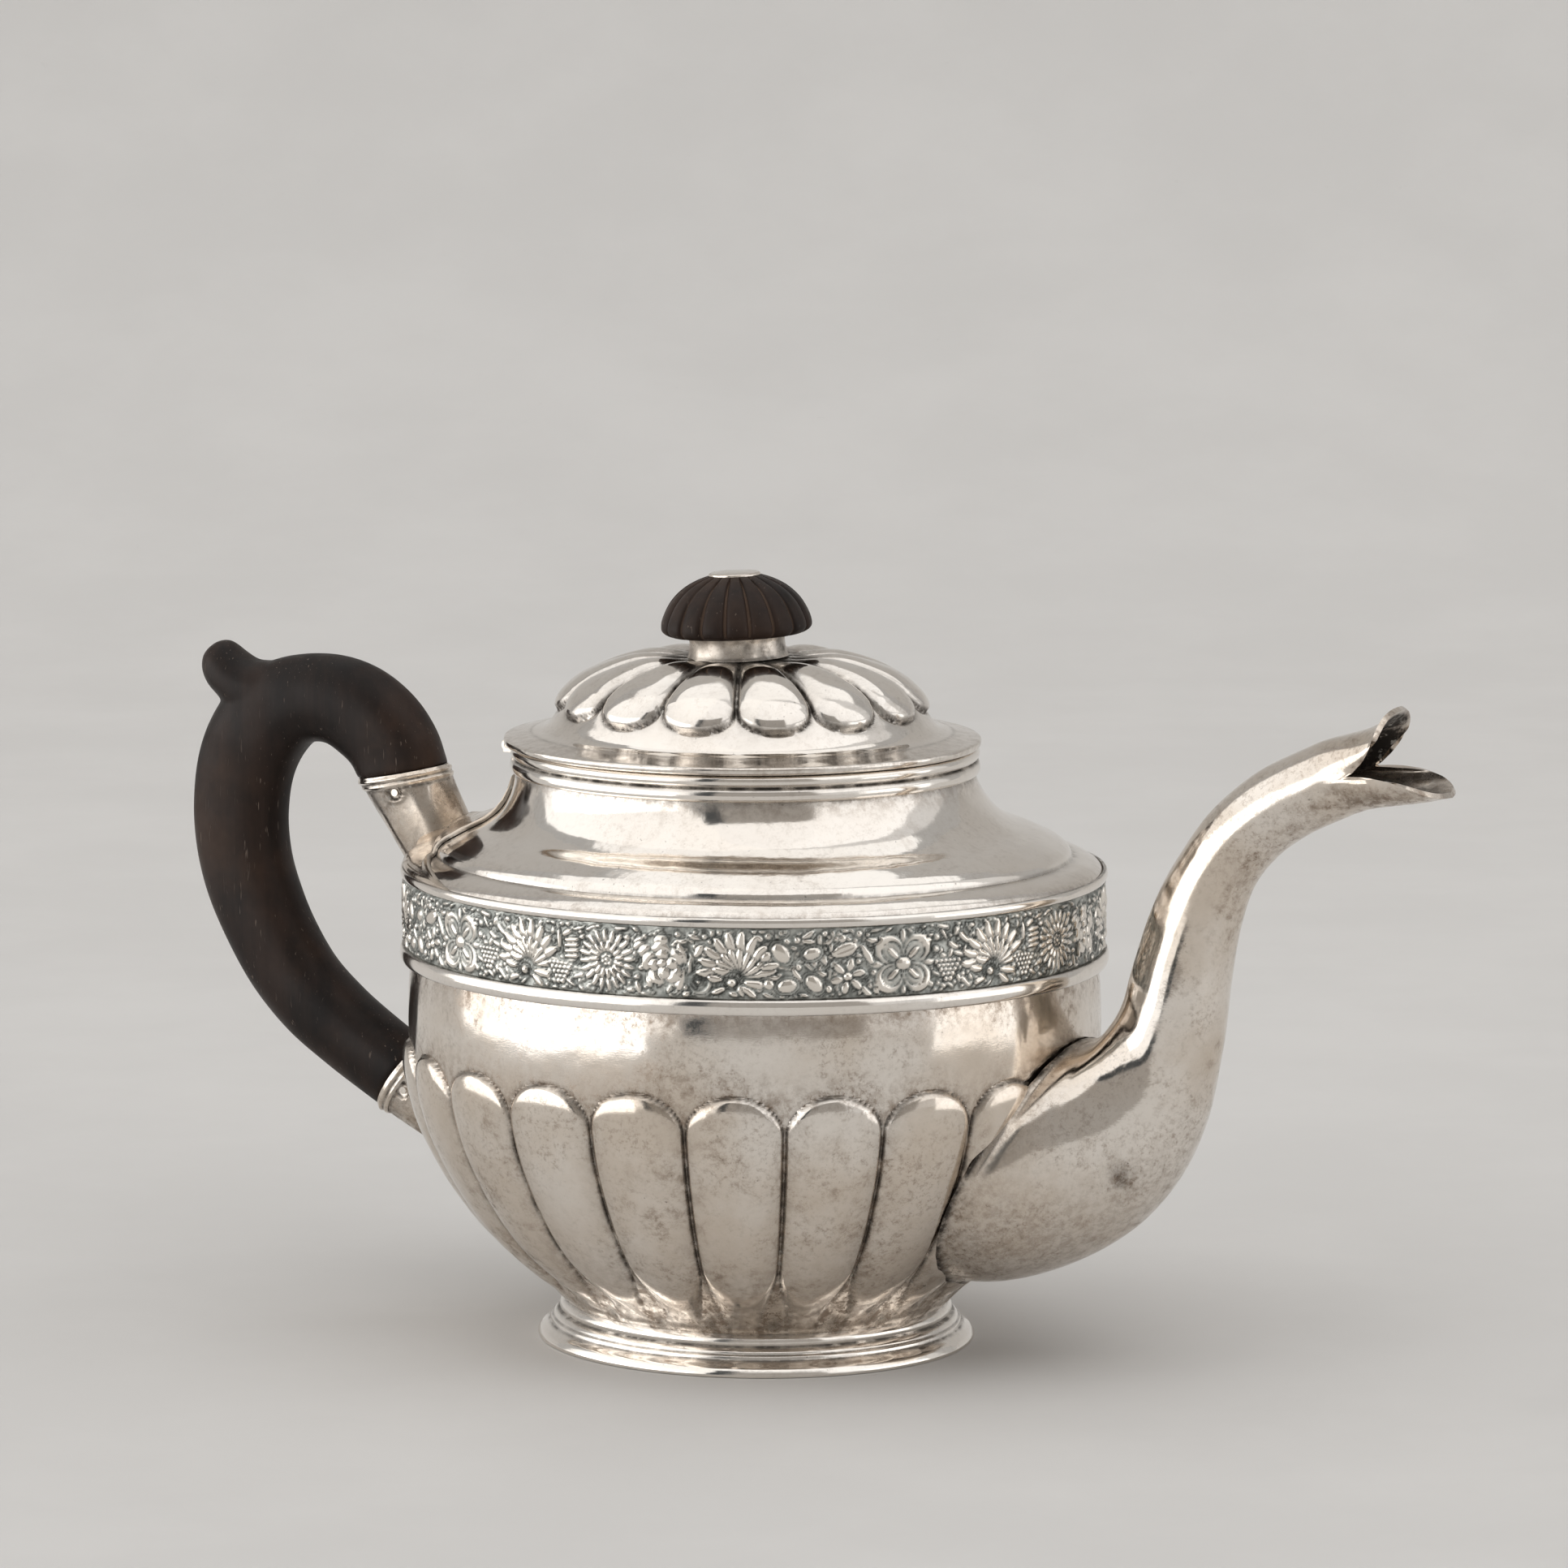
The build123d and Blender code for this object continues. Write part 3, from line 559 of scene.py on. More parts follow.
def make_foot():
    line = profile((0.35, [(46.4, 0.0), (48.0, 0.0)]), (0.25, [(48.0, 0.0), (48.5, 0.25), (48.5, 0.9)]),
                   (0.35, [(48.5, 0.9), (47.8, 2.0), (46.6, 2.8), (46.0, 3.3)]),
                   (0.25, [(46.0, 3.3), (45.75, 3.5), (45.6, 4.1), (45.1, 4.5)]),
                   (0.3, [(45.1, 4.5), (44.9, 5.0), (44.2, 5.6), (43.5, 5.9)]),
                   (0.3, [(43.5, 5.9), (43.7, 6.6), (43.5, 7.4), (42.6, 8.4)]),
                   (0.8, [(42.6, 8.4), (41.0, 8.4)]),
                   (0.8, [(41.0, 8.4), (42.2, 5.4), (44.4, 2.6), (46.2, 1.2), (46.4, 0.0)]))[:-1]
    height = line[:, 1]
    hollows = (0.9 * bell(height, 5.8, 0.28) + 0.8 * bell(height, 3.35, 0.3)
               + 0.7 * bell(height, 4.45, 0.22) + 0.5 * bell(height, 8.3, 0.3))
    turned_ring("foot_moulding", line, "foot_ring", 0.10, 11, np.clip(hollows, 0, 1))


def half_round(inner, outer, low, high):
    """The closed outline of a half-round wire, as (half length, height)."""
    t = np.linspace(-1, 1, 15)
    bulge = inner + (outer - inner) * (0.35 + 0.65 * np.sqrt(np.clip(1 - (0.96 * t) ** 2, 0, 1)))
    height = (low + high) / 2 + t * (high - low) / 2
    front = np.stack([bulge, height], axis=-1)
    return np.concatenate([[(inner, low)], front, [(inner, high)], [(inner, (low + high) / 2)]])


def make_bands():
    inner = 77.02
    for node, seed in (("lower_band", 21), ("upper_band", 31)):
        low, high = span(node, 2)
        outer = span(node, 0)[1]
        line = half_round(inner, outer, low, high)
        edge = np.abs(line[:, 1] - (low + high) / 2) / ((high - low) / 2)
        hollows = 0.75 * smoothstep(edge, 0.82, 1.0)
        turned_ring(node.replace("band", "bead"), line, node, 0.05, seed, hollows)


SHOULDER_PROFILE = [(77.0, 103.4), (76.3, 104.6), (74.0, 105.9), (70.4, 106.9)]
STEP_PROFILE = [(70.4, 106.9), (69.6, 108.4), (68.1, 109.6), (63.6, 111.6)]
NECK_PROFILE = [(63.6, 111.6), (58.6, 113.5), (55.2, 115.8), (52.8, 118.8), (51.3, 121.8), (50.6, 124.4)]
NECK_SHIFT = -1.8
NECK_FOOT, NECK_TOP = NECK_PROFILE[0][1], NECK_PROFILE[-1][1]


def neck_lean(height):
    """The neck leans slightly towards the handle as it rises."""
    return NECK_SHIFT * np.clip((height - NECK_FOOT) / (NECK_TOP - NECK_FOOT), 0, 1)


def shoulder_line(step=0.7):
    return profile((step, SHOULDER_PROFILE), (0.35, STEP_PROFILE[:3]),
                   (step, STEP_PROFILE[2:] + NECK_PROFILE[1:]))


def make_shoulder():
    angles = ring_angles(RING_COLUMNS)
    line = shoulder_line()
    normals = line_normals(line)
    outer = turned(line, angles)
    outer[..., 0] += neck_lean(outer[..., 2])
    direction = turned(normals, angles)
    waves = 0.20 * lattice_noise(outer, 24, 41) + 0.09 * lattice_noise(outer, 9, 42)
    ends = smoothstep(line[:, 1], 103.6, 105.5) * smoothstep(-line[:, 1], -124.2, -122.5)
    outer = outer + direction * (waves * ends)[..., None]
    inner = turned(line - normals * WALL, angles)
    inner[..., 0] += neck_lean(inner[..., 2])
    inner[:, 0, 2] = line[0, 1]
    inner[:, -1, 2] = line[-1, 1]
    grid = np.concatenate([outer, inner[:, ::-1]], axis=1)
    height = line[:, 1]
    dirt = (0.55 * bell(height, 107.0, 0.35) + 0.5 * bell(height, 124.4, 0.9)
            + 0.5 * bell(height, 103.5, 0.5))
    film = 0.45 * smoothstep(-height, -106.5, -103.5) + 0.5 * smoothstep(height, 119.5, 124.0)
    film = np.concatenate([film, np.full(len(film), 0.3)])
    dirt = np.concatenate([dirt, np.full(len(dirt), 0.1)])
    marks = {"cavity": np.broadcast_to(dirt, grid.shape[:2]), "film": np.broadcast_to(film, grid.shape[:2])}
    ring_piece("shoulder_shell", grid, silver_top, "pot", ["shoulder"], marks)


RIM_NOTCH_Z, RIM_NOTCH_Y = 127.45, 13.3


def make_rim():
    inner = 49.3
    top = span("rim_collar", 2)[1]
    line = profile((0.3, [(inner, 124.4), (50.6, 124.4)]),
                   (0.22, [(50.6, 124.4), (51.5, 124.8), (51.8, 125.9), (51.5, 127.0), (50.8, 127.5)]),
                   (0.22, [(50.8, 127.5), (51.4, 128.0), (51.7, 129.0), (51.4, 129.8), (50.8, top)]),
                   (0.4, [(50.8, top), (inner, top)]),
                   (0.8, [(inner, top), (inner, 124.4)]))[:-1]
    angles = ring_angles(720)
    grid = turned(line, angles, NECK_SHIFT)
    uneven = 0.05 * lattice_noise(grid, 12, 51)
    grid = grid + round_outward(angles) * uneven[..., None]
    notch = (np.abs(grid[..., 1]) < RIM_NOTCH_Y + 0.2) & (grid[..., 0] < 0)
    grid[..., 2] = np.where(notch, np.minimum(grid[..., 2], RIM_NOTCH_Z), grid[..., 2])
    dirt = 0.9 * bell(line[:, 1], 127.5, 0.5) * (line[:, 0] > 50)
    ring_piece("rim_moulding", grid, silver_trim, "pot", ["rim_collar"],
               {"cavity": np.broadcast_to(dirt, grid.shape[:2])})


# ---------------------------------------------------------------- frieze

FRIEZE_PERIOD = 105.0           # the stamped strip repeats after this length
FRIEZE_GRID = 0.25
FRIEZE_DEPTH = 0.85
STAMP_STEP = 0.25                # each stamped shape starts this far up


class Strip:
    """A heightfield of one repeat of the stamped strip: u along it and v up it, in mm."""

    def __init__(self, height):
        self.u = np.arange(0, FRIEZE_PERIOD, FRIEZE_GRID)
        self.v = np.linspace(0, height, int(height / FRIEZE_GRID) + 1)
        self.high = np.zeros((len(self.u), len(self.v)))
        self.line = np.zeros_like(self.high)

    def local(self, u, v, angle):
        du = (self.u[:, None] - u + FRIEZE_PERIOD / 2) % FRIEZE_PERIOD - FRIEZE_PERIOD / 2
        dv = self.v[None, :] - v
        c, s = math.cos(angle), math.sin(angle)
        return du * c + dv * s, dv * c - du * s

    def stamp(self, shape, edge):
        """Adds a shape of heights 0 to 1, with a chased outline where edge is near 0."""
        inside = shape > 0
        self.line = np.where(inside, 0, self.line)
        self.high = np.where(inside, STAMP_STEP + (1 - STAMP_STEP) * shape, self.high)
        ring = np.exp(-(np.clip(edge, 0, None) / 0.26) ** 2) * ~inside
        self.line = np.maximum(self.line, ring)
        self.high = np.where(inside, self.high, self.high * (1 - 0.8 * ring))

    def petal(self, u, v, angle, length, width, height=0.9, crease=0.0, tip=0.6):
        """A petal or leaf from (u, v) along angle, widest at tip of its length."""
        x, y = self.local(u, v, angle)
        t = np.clip(x / length, 0.001, 0.999)
        half = width / 2 * (t / tip) ** 0.6 * ((1 - t) / (1 - tip)) ** 0.45
        half = np.where((x > 0) & (x < length), np.minimum(half, width / 2 * 1.05), 0.0)
        gap = np.abs(y) - half
        beyond = np.maximum(np.maximum(-x, x - length), 0)
        edge = np.hypot(np.maximum(gap, 0), beyond)
        body = np.sqrt(np.clip(1 - (y / np.maximum(half, 0.05)) ** 2, 0, 1)) * (half > 0.05)
        body = body * (1 - crease * bell(y, 0, 0.22))
        self.stamp(height * body, edge)

    def berry(self, u, v, radius, height=0.85, flat=1.0, angle=0.0):
        x, y = self.local(u, v, angle)
        r = np.hypot(x, y / flat)
        self.stamp(height * np.sqrt(np.clip(1 - (r / radius) ** 2, 0, 1)), (r - radius))

    def curl(self, u, v, angle, radius, turns, width=0.75, height=0.8):
        """A spiral stem that rolls up at (u, v)."""
        for t in np.linspace(0, 1, int(14 * turns * radius)):
            a = angle + t * turns * TURN
            r = radius * (1 - 0.8 * t)
            self.berry(u + r * math.cos(a), v + r * math.sin(a), width / 2, height)

    def fan(self, u, v, count, start, end, length, width, **keys):
        for angle in np.linspace(start, end, count):
            self.petal(u, v, angle, length * (1 - 0.12 * abs(math.cos(angle))), width, **keys)

    def flower(self, u, v, count, inner, length, width, spin=0.0, **keys):
        for k in range(count):
            a = spin + k * TURN / count
            self.petal(u + inner * math.cos(a), v + inner * math.sin(a), a, length, width, **keys)


def daisy(s, u, v):
    s.flower(u, v, 20, 2.0, 4.6, 1.25, 0.08, height=0.75, crease=0.35, tip=0.55)
    s.flower(u, v, 15, 1.1, 2.9, 1.0, 0.2, height=0.9, tip=0.6)
    s.berry(u, v, 1.5, 0.95)
    for k in range(7):
        s.berry(u + 0.95 * math.cos(k * TURN / 7), v + 0.95 * math.sin(k * TURN / 7), 0.42, 1.0)
    s.berry(u, v, 0.45, 1.0)


def cross_flower(s, u, v):
    s.flower(u, v, 4, 2.0, 5.4, 1.5, 0.0, height=0.6, crease=0.3)
    for k in range(4):
        a = math.radians(45) + k * TURN / 4
        c, d = math.cos(a), math.sin(a)
        s.petal(u + 0.8 * c, v + 0.8 * d, a, 6.6, 6.0, 0.75, tip=0.66)
        s.petal(u + 1.2 * c, v + 1.2 * d, a, 4.6, 3.8, 0.35, tip=0.66)
        s.petal(u + 1.4 * c, v + 1.4 * d, a, 3.2, 1.2, 0.8)
    s.berry(u, v, 1.7, 0.95, 0.8)


def palmette(s, u, v):
    s.fan(u, v, 10, math.radians(8), math.radians(176), 9.6, 2.1, height=0.85, tip=0.72)
    s.fan(u, v, 8, math.radians(20), math.radians(164), 5.8, 1.5, height=0.95, tip=0.68)
    s.curl(u - 1.0, v - 1.6, math.radians(10), 2.1, 1.3)
    s.berry(u - 1.0, v - 1.6, 0.9, 1.0)
    s.petal(u + 1.5, v - 1.5, math.radians(-8), 4.4, 1.7, 0.85, tip=0.7)
    s.petal(u + 1.2, v - 2.4, math.radians(-38), 3.6, 1.5, 0.85, tip=0.7)
    s.petal(u - 3.0, v - 1.0, math.radians(170), 3.2, 1.5, 0.85, tip=0.7)
    s.petal(u - 2.4, v - 2.8, math.radians(200), 3.0, 1.3, 0.8, tip=0.7)


def grapes(s, u, v, rows=5):
    for row in range(rows):
        for k in range(rows - row + 1):
            s.berry(u + (k - (rows - row) / 2) * 1.05, v + 1.9 - row * 0.95, 0.55, 0.9)


def striped_bud(s, u, v):
    s.berry(u, v, 3.0, 0.8, 0.72, math.radians(80))
    for k in (-1.5, -0.5, 0.5, 1.5):
        s.petal(u - 1.9, v + 1.15 * k, math.radians(6), 3.8, 0.95, 0.95)


def rose(s, u, v):
    s.petal(u + 3.3, v + 4.6, math.radians(-70), 4.6, 1.8, 0.7, crease=0.3)
    s.petal(u + 4.2, v - 0.4, math.radians(-100), 5.0, 1.9, 0.75)
    s.petal(u - 3.4, v - 1.6, math.radians(-80), 3.6, 1.6, 0.7, crease=0.3)
    s.berry(u - 3.9, v + 2.6, 1.7, 0.75, 0.8, 0.6)
    s.berry(u - 0.4, v + 4.9, 1.7, 0.8, 0.75, 0.1)
    s.flower(u, v, 5, 0.6, 4.0, 4.2, 0.5, height=0.75, tip=0.7)
    s.flower(u, v, 4, 0.3, 2.7, 2.6, 0.1, height=0.85, tip=0.66)
    s.berry(u - 0.2, v + 0.2, 1.1, 1.0, 0.75, 0.5)


def rosebud(s, u, v):
    s.berry(u, v, 2.6, 0.8)
    s.curl(u, v, math.radians(120), 1.9, 1.2, 0.8, 0.95)
    s.petal(u + 2.4, v + 5.4, math.radians(150), 4.4, 2.0, 0.85, crease=0.4)
    s.petal(u - 1.0, v + 5.2, math.radians(60), 3.0, 1.5, 0.8)


def pods(s, u, v):
    for du, dv, r, a in ((0.0, 4.3, 2.7, -0.9), (6.4, 4.2, 2.2, 0.3), (1.2, -2.6, 2.4, 0.2),
                         (6.8, -2.2, 2.5, -0.8)):
        s.berry(u + du, v + dv, r + 0.3, 0.55, 0.72, a)
        s.berry(u + du, v + dv, r - 0.35, 0.95, 0.68, a)
    s.petal(u - 4.4, v + 1.2, 0.2, 4.0, 1.5, 0.8)
    s.berry(u - 2.6, v - 2.3, 1.1, 0.85)
    s.berry(u - 3.2, v + 3.6, 1.3, 0.8, 0.7, 0.8)


def leaf_spray(s, u, v):
    s.petal(u - 2.2, v + 2.0, math.radians(20), 5.6, 2.9, 0.85, crease=0.5, tip=0.5)
    s.flower(u + 1.2, v - 2.6, 6, 0.9, 2.9, 1.6, 0.3, height=0.75, crease=0.3)
    s.berry(u + 1.2, v - 2.6, 0.9, 1.0)
    s.petal(u + 4.0, v + 4.2, math.radians(-60), 5.0, 1.5, 0.75, crease=0.4)


FRIEZE_MOTIFS = [(cross_flower, 0.0, 6.9), (grapes, 10.2, 4.8), (palmette, 21.8, 5.1), (grapes, 30.4, 3.9),
                 (striped_bud, 33.2, 9.1), (daisy, 41.6, 7.4), (rose, 54.2, 7.2), (rosebud, 62.1, 3.7),
                 (palmette, 69.8, 5.2), (pods, 79.1, 5.6), (leaf_spray, 91.8, 7.3)]


def strip_relief(height):
    """One repeat of the strip: a ground of small seeds and leaves, with the motifs over it."""
    s = Strip(height)
    rng = np.random.default_rng(7)
    for _ in range(950):
        u, v, a = rng.uniform(0, FRIEZE_PERIOD), rng.uniform(0.3, height - 0.3), rng.uniform(0, TURN)
        if rng.random() < 0.45:
            s.berry(u, v, rng.uniform(0.4, 0.85), rng.uniform(0.45, 0.8))
        else:
            s.petal(u, v, a, rng.uniform(1.6, 4.0), rng.uniform(0.7, 1.5), rng.uniform(0.45, 0.8), tip=0.6)
    for motif, u, v in FRIEZE_MOTIFS:
        motif(s, u, v)
    edge = np.minimum(s.v, height - s.v)[None, :]
    flat = smoothstep(edge, 0.15, 0.7)
    return s, s.high * flat, s.line * flat


def make_frieze():
    low, high = span("frieze_band", 2)
    low, high = low + 0.02, high - 0.02
    ground, back = 77.06, 76.9
    strip, relief, lines = strip_relief(high - low)
    fine = np.linspace(-math.pi, math.pi, 7201)
    speed = ground * np.hypot(np.sin(fine), np.cos(fine) / OVAL)
    length = np.r_[0, np.cumsum((speed[1:] + speed[:-1]) / 2 * np.diff(fine))]
    count = int(length[-1] / FRIEZE_GRID)
    along = (np.arange(count) + 0.5) * length[-1] / count
    angles = np.interp(along, length, fine)
    flower_angle = math.radians(-122.0)             # one cross flower on the near side
    u = (along - np.interp(flower_angle, fine, length)) % FRIEZE_PERIOD
    column = np.round(u / FRIEZE_GRID).astype(int) % len(strip.u)
    lift = relief[column]
    soft = (lift + np.roll(lift, 1, 0) + np.roll(lift, -1, 0)) / 3
    soft[:, 1:-1] = (soft[:, :-2] + 2 * soft[:, 1:-1] + soft[:, 2:]) / 4
    heights = low + strip.v
    front = turned(np.stack([np.full(len(heights), ground), heights], axis=-1), angles)
    front = front + oval_outward(angles)[:, None] * (FRIEZE_DEPTH * soft)[..., None]
    rear = turned(np.array([(back, high), (back, low)]), angles)
    grid = np.concatenate([front, rear], axis=1)
    none = np.zeros((count, 2))
    marks = {"height": np.concatenate([soft, none], axis=1),
             "cavity": np.concatenate([lines[column], none], axis=1)}
    ring_piece("frieze_relief", grid, relief_silver, "pot", ["frieze_band"], marks, 180)


# ---------------------------------------------------------------- lid and knob

LID_SHIFT = -2.4
LID_LOBES = 14
LID_LOBE_START = math.radians(-17.5)
LID_CROWN = [(46.5, 133.2), (43.4, 134.2), (41.0, 137.0), (38.4, 140.4), (34.8, 143.6), (29.0, 146.2),
             (20.0, 148.4), (8.0, 149.6)]
PETAL_FOOT_Z, PETAL_RISE = 137.4, 2.1
PETAL_HALF_LENGTH = 5.8


def lid_petals(angles, line):
    """How far the lid is chased out into petals, and the deposit in the grooves between them."""
    reach = line[:, 0]
    pitch = TURN / LID_LOBES
    share = ((angles - LID_LOBE_START) / pitch) % 1.0
    across = np.abs(2 * share - 1)[:, None] * np.ones(len(line))
    arc = reach * np.hypot(np.sin(angles)[:, None], np.cos(angles)[:, None] / OVAL)
    half = arc * pitch / 2
    run = lengths(line)                             # along the profile, from the crown down to the edge
    foot = np.interp(-PETAL_FOOT_Z, -line[:, 1], run)
    left = foot - run                               # how much of the petal remains below this point
    side = (1 - across) * half - 0.2
    drop = np.clip(1 - left / PETAL_HALF_LENGTH, 0, 3)
    arch = (1 - np.hypot(across, drop)) * PETAL_HALF_LENGTH - 0.2
    inside = np.where(left[None, :] < PETAL_HALF_LENGTH, arch, side)
    top = np.clip(inside / 4.2, 0, 1)
    pad = 0.72 * np.sqrt(1 - (1 - top) ** 2) + 0.28 * (1 - across**2) * (inside > 0)
    fade = smoothstep(reach, 9.0, 24.0)[None, :]
    rise = PETAL_RISE * pad * fade
    cut = bell(inside, 0, 0.45)
    dirt = bell(inside, 0, 0.42) * 0.85 + 0.34 * np.exp(-np.abs(inside) / 1.3)
    centre = 0.6 * (1 - smoothstep(reach, 11.0, 22.0))[None, :]
    below = left[None, :] > -4
    return rise - 0.35 * cut * fade, np.clip(np.maximum(dirt, centre), 0, 1) * below


def make_lid():
    angles = lobe_angles(LID_LOBES, LID_LOBE_START, 30, 0.6)
    crown = even_line(LID_CROWN[::-1], 0.55)
    start = np.stack([np.linspace(1.0, 8.0, 6)[:-1], np.full(5, 149.6)], axis=-1)
    crown = np.concatenate([start, crown])
    flange = profile((0.6, [(46.5, 133.2), (49.6, 132.5), (52.3, 132.0)]),
                     (0.25, [(52.3, 132.0), (52.55, 131.8), (52.6, 131.3), (52.45, 130.7), (52.2, 130.45)]))
    top = np.concatenate([crown, flange[1:]])
    rise, dirt = lid_petals(angles, top)
    normals = -line_normals(top)
    outward = turned(normals, angles)
    outer = turned(top, angles, LID_SHIFT)
    waves = 0.10 * lattice_noise(outer, 15, 61) + 0.05 * lattice_noise(outer, 6, 62)
    quiet = smoothstep(-top[:, 1], -149.5, -148.4) * smoothstep(top[:, 1], 131.9, 132.6)
    outer_skin = outer + outward * (rise + waves * quiet)[..., None]
    under = profile((0.8, [(52.2, 130.45), (47.0, 130.45)]), (0.5, [(47.0, 130.45), (46.0, 132.2)]))[1:]
    inner_line = (crown - (-line_normals(crown)) * WALL)[::-1]
    inner_line[:, 0] = np.maximum(inner_line[:, 0], 0.8)
    inner = turned(inner_line, angles, LID_SHIFT)
    inner = inner + outward[:, :len(crown)][:, ::-1] * (0.8 * rise[:, :len(crown)])[:, ::-1, None]
    grid = np.concatenate([outer_skin, turned(under, angles, LID_SHIFT), inner], axis=1)
    step_line = 0.35 * bell(top[:, 0], 46.6, 0.5)
    dirt = np.maximum(dirt, step_line[None, :])
    lower = np.full((len(angles), len(under) + len(inner_line)), 0.15)
    reach = top[:, 0]
    film = 0.35 * smoothstep(reach, 46.0, 48.0) + 0.6 * (1 - smoothstep(reach, 12.0, 24.0))
    film = np.concatenate([np.clip(film, 0, 1)[None, :] + 0.35 * dirt, lower], axis=1)
    capped_piece("lid_shell", grid, silver_lid, "lid", ["lid_dome"],
                 {"cavity": np.concatenate([dirt, lower], axis=1), "film": film})


KNOB_X, KNOB_FOOT = -3.3, 150.2
KNOB_TILT = math.radians(-2.2)


def knob_place(grid):
    """Stands a grid, made about the knob's own axis, on the lid with the knob's slight lean."""
    x, y, z = grid[..., 0], grid[..., 1], grid[..., 2] - KNOB_FOOT
    c, s = math.cos(KNOB_TILT), math.sin(KNOB_TILT)
    return np.stack([KNOB_X + x * c + z * s, y, KNOB_FOOT + z * c - x * s], axis=-1)


def round_turned(line, angles):
    c, s = np.cos(angles)[:, None], np.sin(angles)[:, None]
    x = line[:, 0] * c
    return np.stack([x, line[:, 0] * s, np.broadcast_to(line[:, 1], x.shape)], axis=-1)


FLUTES = 18


def make_knob():
    angles = lobe_angles(FLUTES, 0.1, 14, 0.55)
    line = profile((0.9, [(0.8, 154.2), (12.4, 154.2)]),
                   (0.4, [(12.4, 154.2), (15.0, 154.6), (16.3, 155.7), (16.4, 156.9), (15.6, 159.2),
                          (14.0, 161.9), (11.4, 164.4), (8.4, 166.1), (5.4, 167.2)]),
                   (0.5, [(5.4, 167.2), (5.2, 166.9)]), (0.9, [(5.2, 166.9), (0.8, 166.9)]))
    grid = round_turned(line, angles)
    share = ((angles - 0.1) * FLUTES / TURN) % 1.0
    across = np.abs(2 * share - 1)[:, None]
    strength = smoothstep(line[:, 0], 4.5, 9.0) * smoothstep(line[:, 1], 154.0, 155.6)
    groove = (np.exp(-((1 - across) / 0.16) ** 2)) * strength
    scallop = (1 - across**2) * 0.45 * strength
    lift = scallop - 0.85 * groove - 0.40 * strength + 0.06 * lattice_noise(grid, 5, 71)
    grid = grid + round_outward(angles) * lift[..., None]
    grid[..., 2] -= 0.35 * groove * smoothstep(-line[:, 0], -13.0, -8.0)
    capped_piece("knob_turned_wood", knob_place(grid), knob_fluted_wood, "lid", ["knob_wood"],
                 {"cavity": groove})
    cap = profile((0.6, [(0.5, 166.9), (5.5, 166.9)]),
                  (0.2, [(5.5, 166.9), (5.65, 167.1), (5.6, 167.5), (5.3, 167.75)]),
                  (0.5, [(5.3, 167.75), (2.5, 167.88), (0.5, 167.88)]))
    disc = round_turned(cap, ring_angles(64))
    on_top = disc[..., 2] > 167.5
    disc[..., 2] += 0.05 * lattice_noise(disc, 3, 73) * on_top - 0.06 * on_top
    capped_piece("knob_disc", knob_place(disc), silver_part, "lid", ["knob_cap"], {})
    collar = profile((0.4, [(9.3, 149.4), (11.1, 149.4)]),
                     (0.25, [(11.1, 149.4), (10.6, 150.3), (10.35, 151.8), (10.4, 153.2), (10.7, 154.2)]),
                     (0.6, [(10.7, 154.2), (9.3, 154.2)]),
                     (0.8, [(9.3, 154.2), (9.3, 149.4)]))[:-1]
    tube = round_turned(collar, ring_angles(120))
    tube = tube + 0.10 * lattice_noise(tube, 4, 74)[..., None] * np.array([1.0, 1.0, 0.0])
    dirt = np.clip(0.45 + 0.5 * lattice_noise(tube, 2.2, 75), 0, 0.9)
    ring_piece("knob_foot_collar", knob_place(tube), silver_part_dirty, "lid", ["knob_collar"],
               {"cavity": dirt})


# ---------------------------------------------------------------- tubes through sections

def section_ring(low, high, half, angles, power=1.0):
    """An oval ring: low and high are its ends as (x, z), half its reach in Y. Angle 0 is at low."""
    low, high = np.asarray(low, float), np.asarray(high, float)
    middle, arm = (low + high) / 2, (low - high) / 2
    c, s = np.cos(angles), np.sin(angles)
    if power != 1.0:
        c, s = np.sign(c) * np.abs(c) ** power, np.sign(s) * np.abs(s) ** power
    return np.stack([middle[0] + arm[0] * c, half * s, middle[1] + arm[1] * c], axis=-1)


def swept(sections, rows, angles, power=1.0):
    """A grid of columns round and rows along a tube given by (low, high, half) sections."""
    flat = np.array([(*low, *high, half) for low, high, half in sections], float)
    smooth = curve_through(flat, np.linspace(0, 1, rows))
    return np.stack([section_ring(s[0:2], s[2:4], s[4], angles, power) for s in smooth], axis=1)


def outward_sign(grid):
    """1 if the grid's normals point away from its own middle line, else -1."""
    centre = grid.mean(axis=0, keepdims=True)
    return np.sign(np.sum((grid - centre) * grid_normals(grid)))


# ---------------------------------------------------------------- spout

SPOUT_SECTIONS = [((44, 17), (66, 67), 33), ((62, 17.6), (78.5, 70.5), 31), ((77, 22.8), (83, 72.8), 25.5),
                  ((89.5, 30.8), (85.4, 75.6), 20.5), ((99, 41.5), (87.2, 78.8), 16.5),
                  ((104.5, 52.5), (88.4, 82.3), 13.8), ((107.6, 64), (89.4, 87), 12.3),
                  ((109.6, 77), (90.8, 92), 11.3), ((111, 88), (92.7, 98), 10.2),
                  ((112.8, 97), (95.6, 104.8), 9.2), ((116, 106), (100.6, 113.2), 8.6),
                  ((121.5, 113), (107.4, 122.6), 8.4), ((129, 118.5), (117.2, 130.9), 8.4),
                  ((138, 122.9), (129.5, 137.4), 8.6)]
LOWER_LIP = [(140.3, 9.0, 132.4), (143.8, 9.5, 132.5), (147.7, 10.2, 132.3), (151.6, 10.5, 131.7),
             (154.8, 9.9, 130.6), (157.2, 8.2, 129.5), (159.2, 5.2, 128.6), (160.4, 0.0, 128.2)]
LEAF_EDGE = [(140.3, 9.0, 132.4), (143.2, 9.4, 135.3), (145.4, 10.2, 138.5), (146.6, 10.2, 140.8),
             (147.2, 9.2, 142.9), (147.7, 6.8, 144.8), (148.2, 3.6, 145.9), (148.5, 0.0, 146.2)]
SPOUT_WALL = 0.9


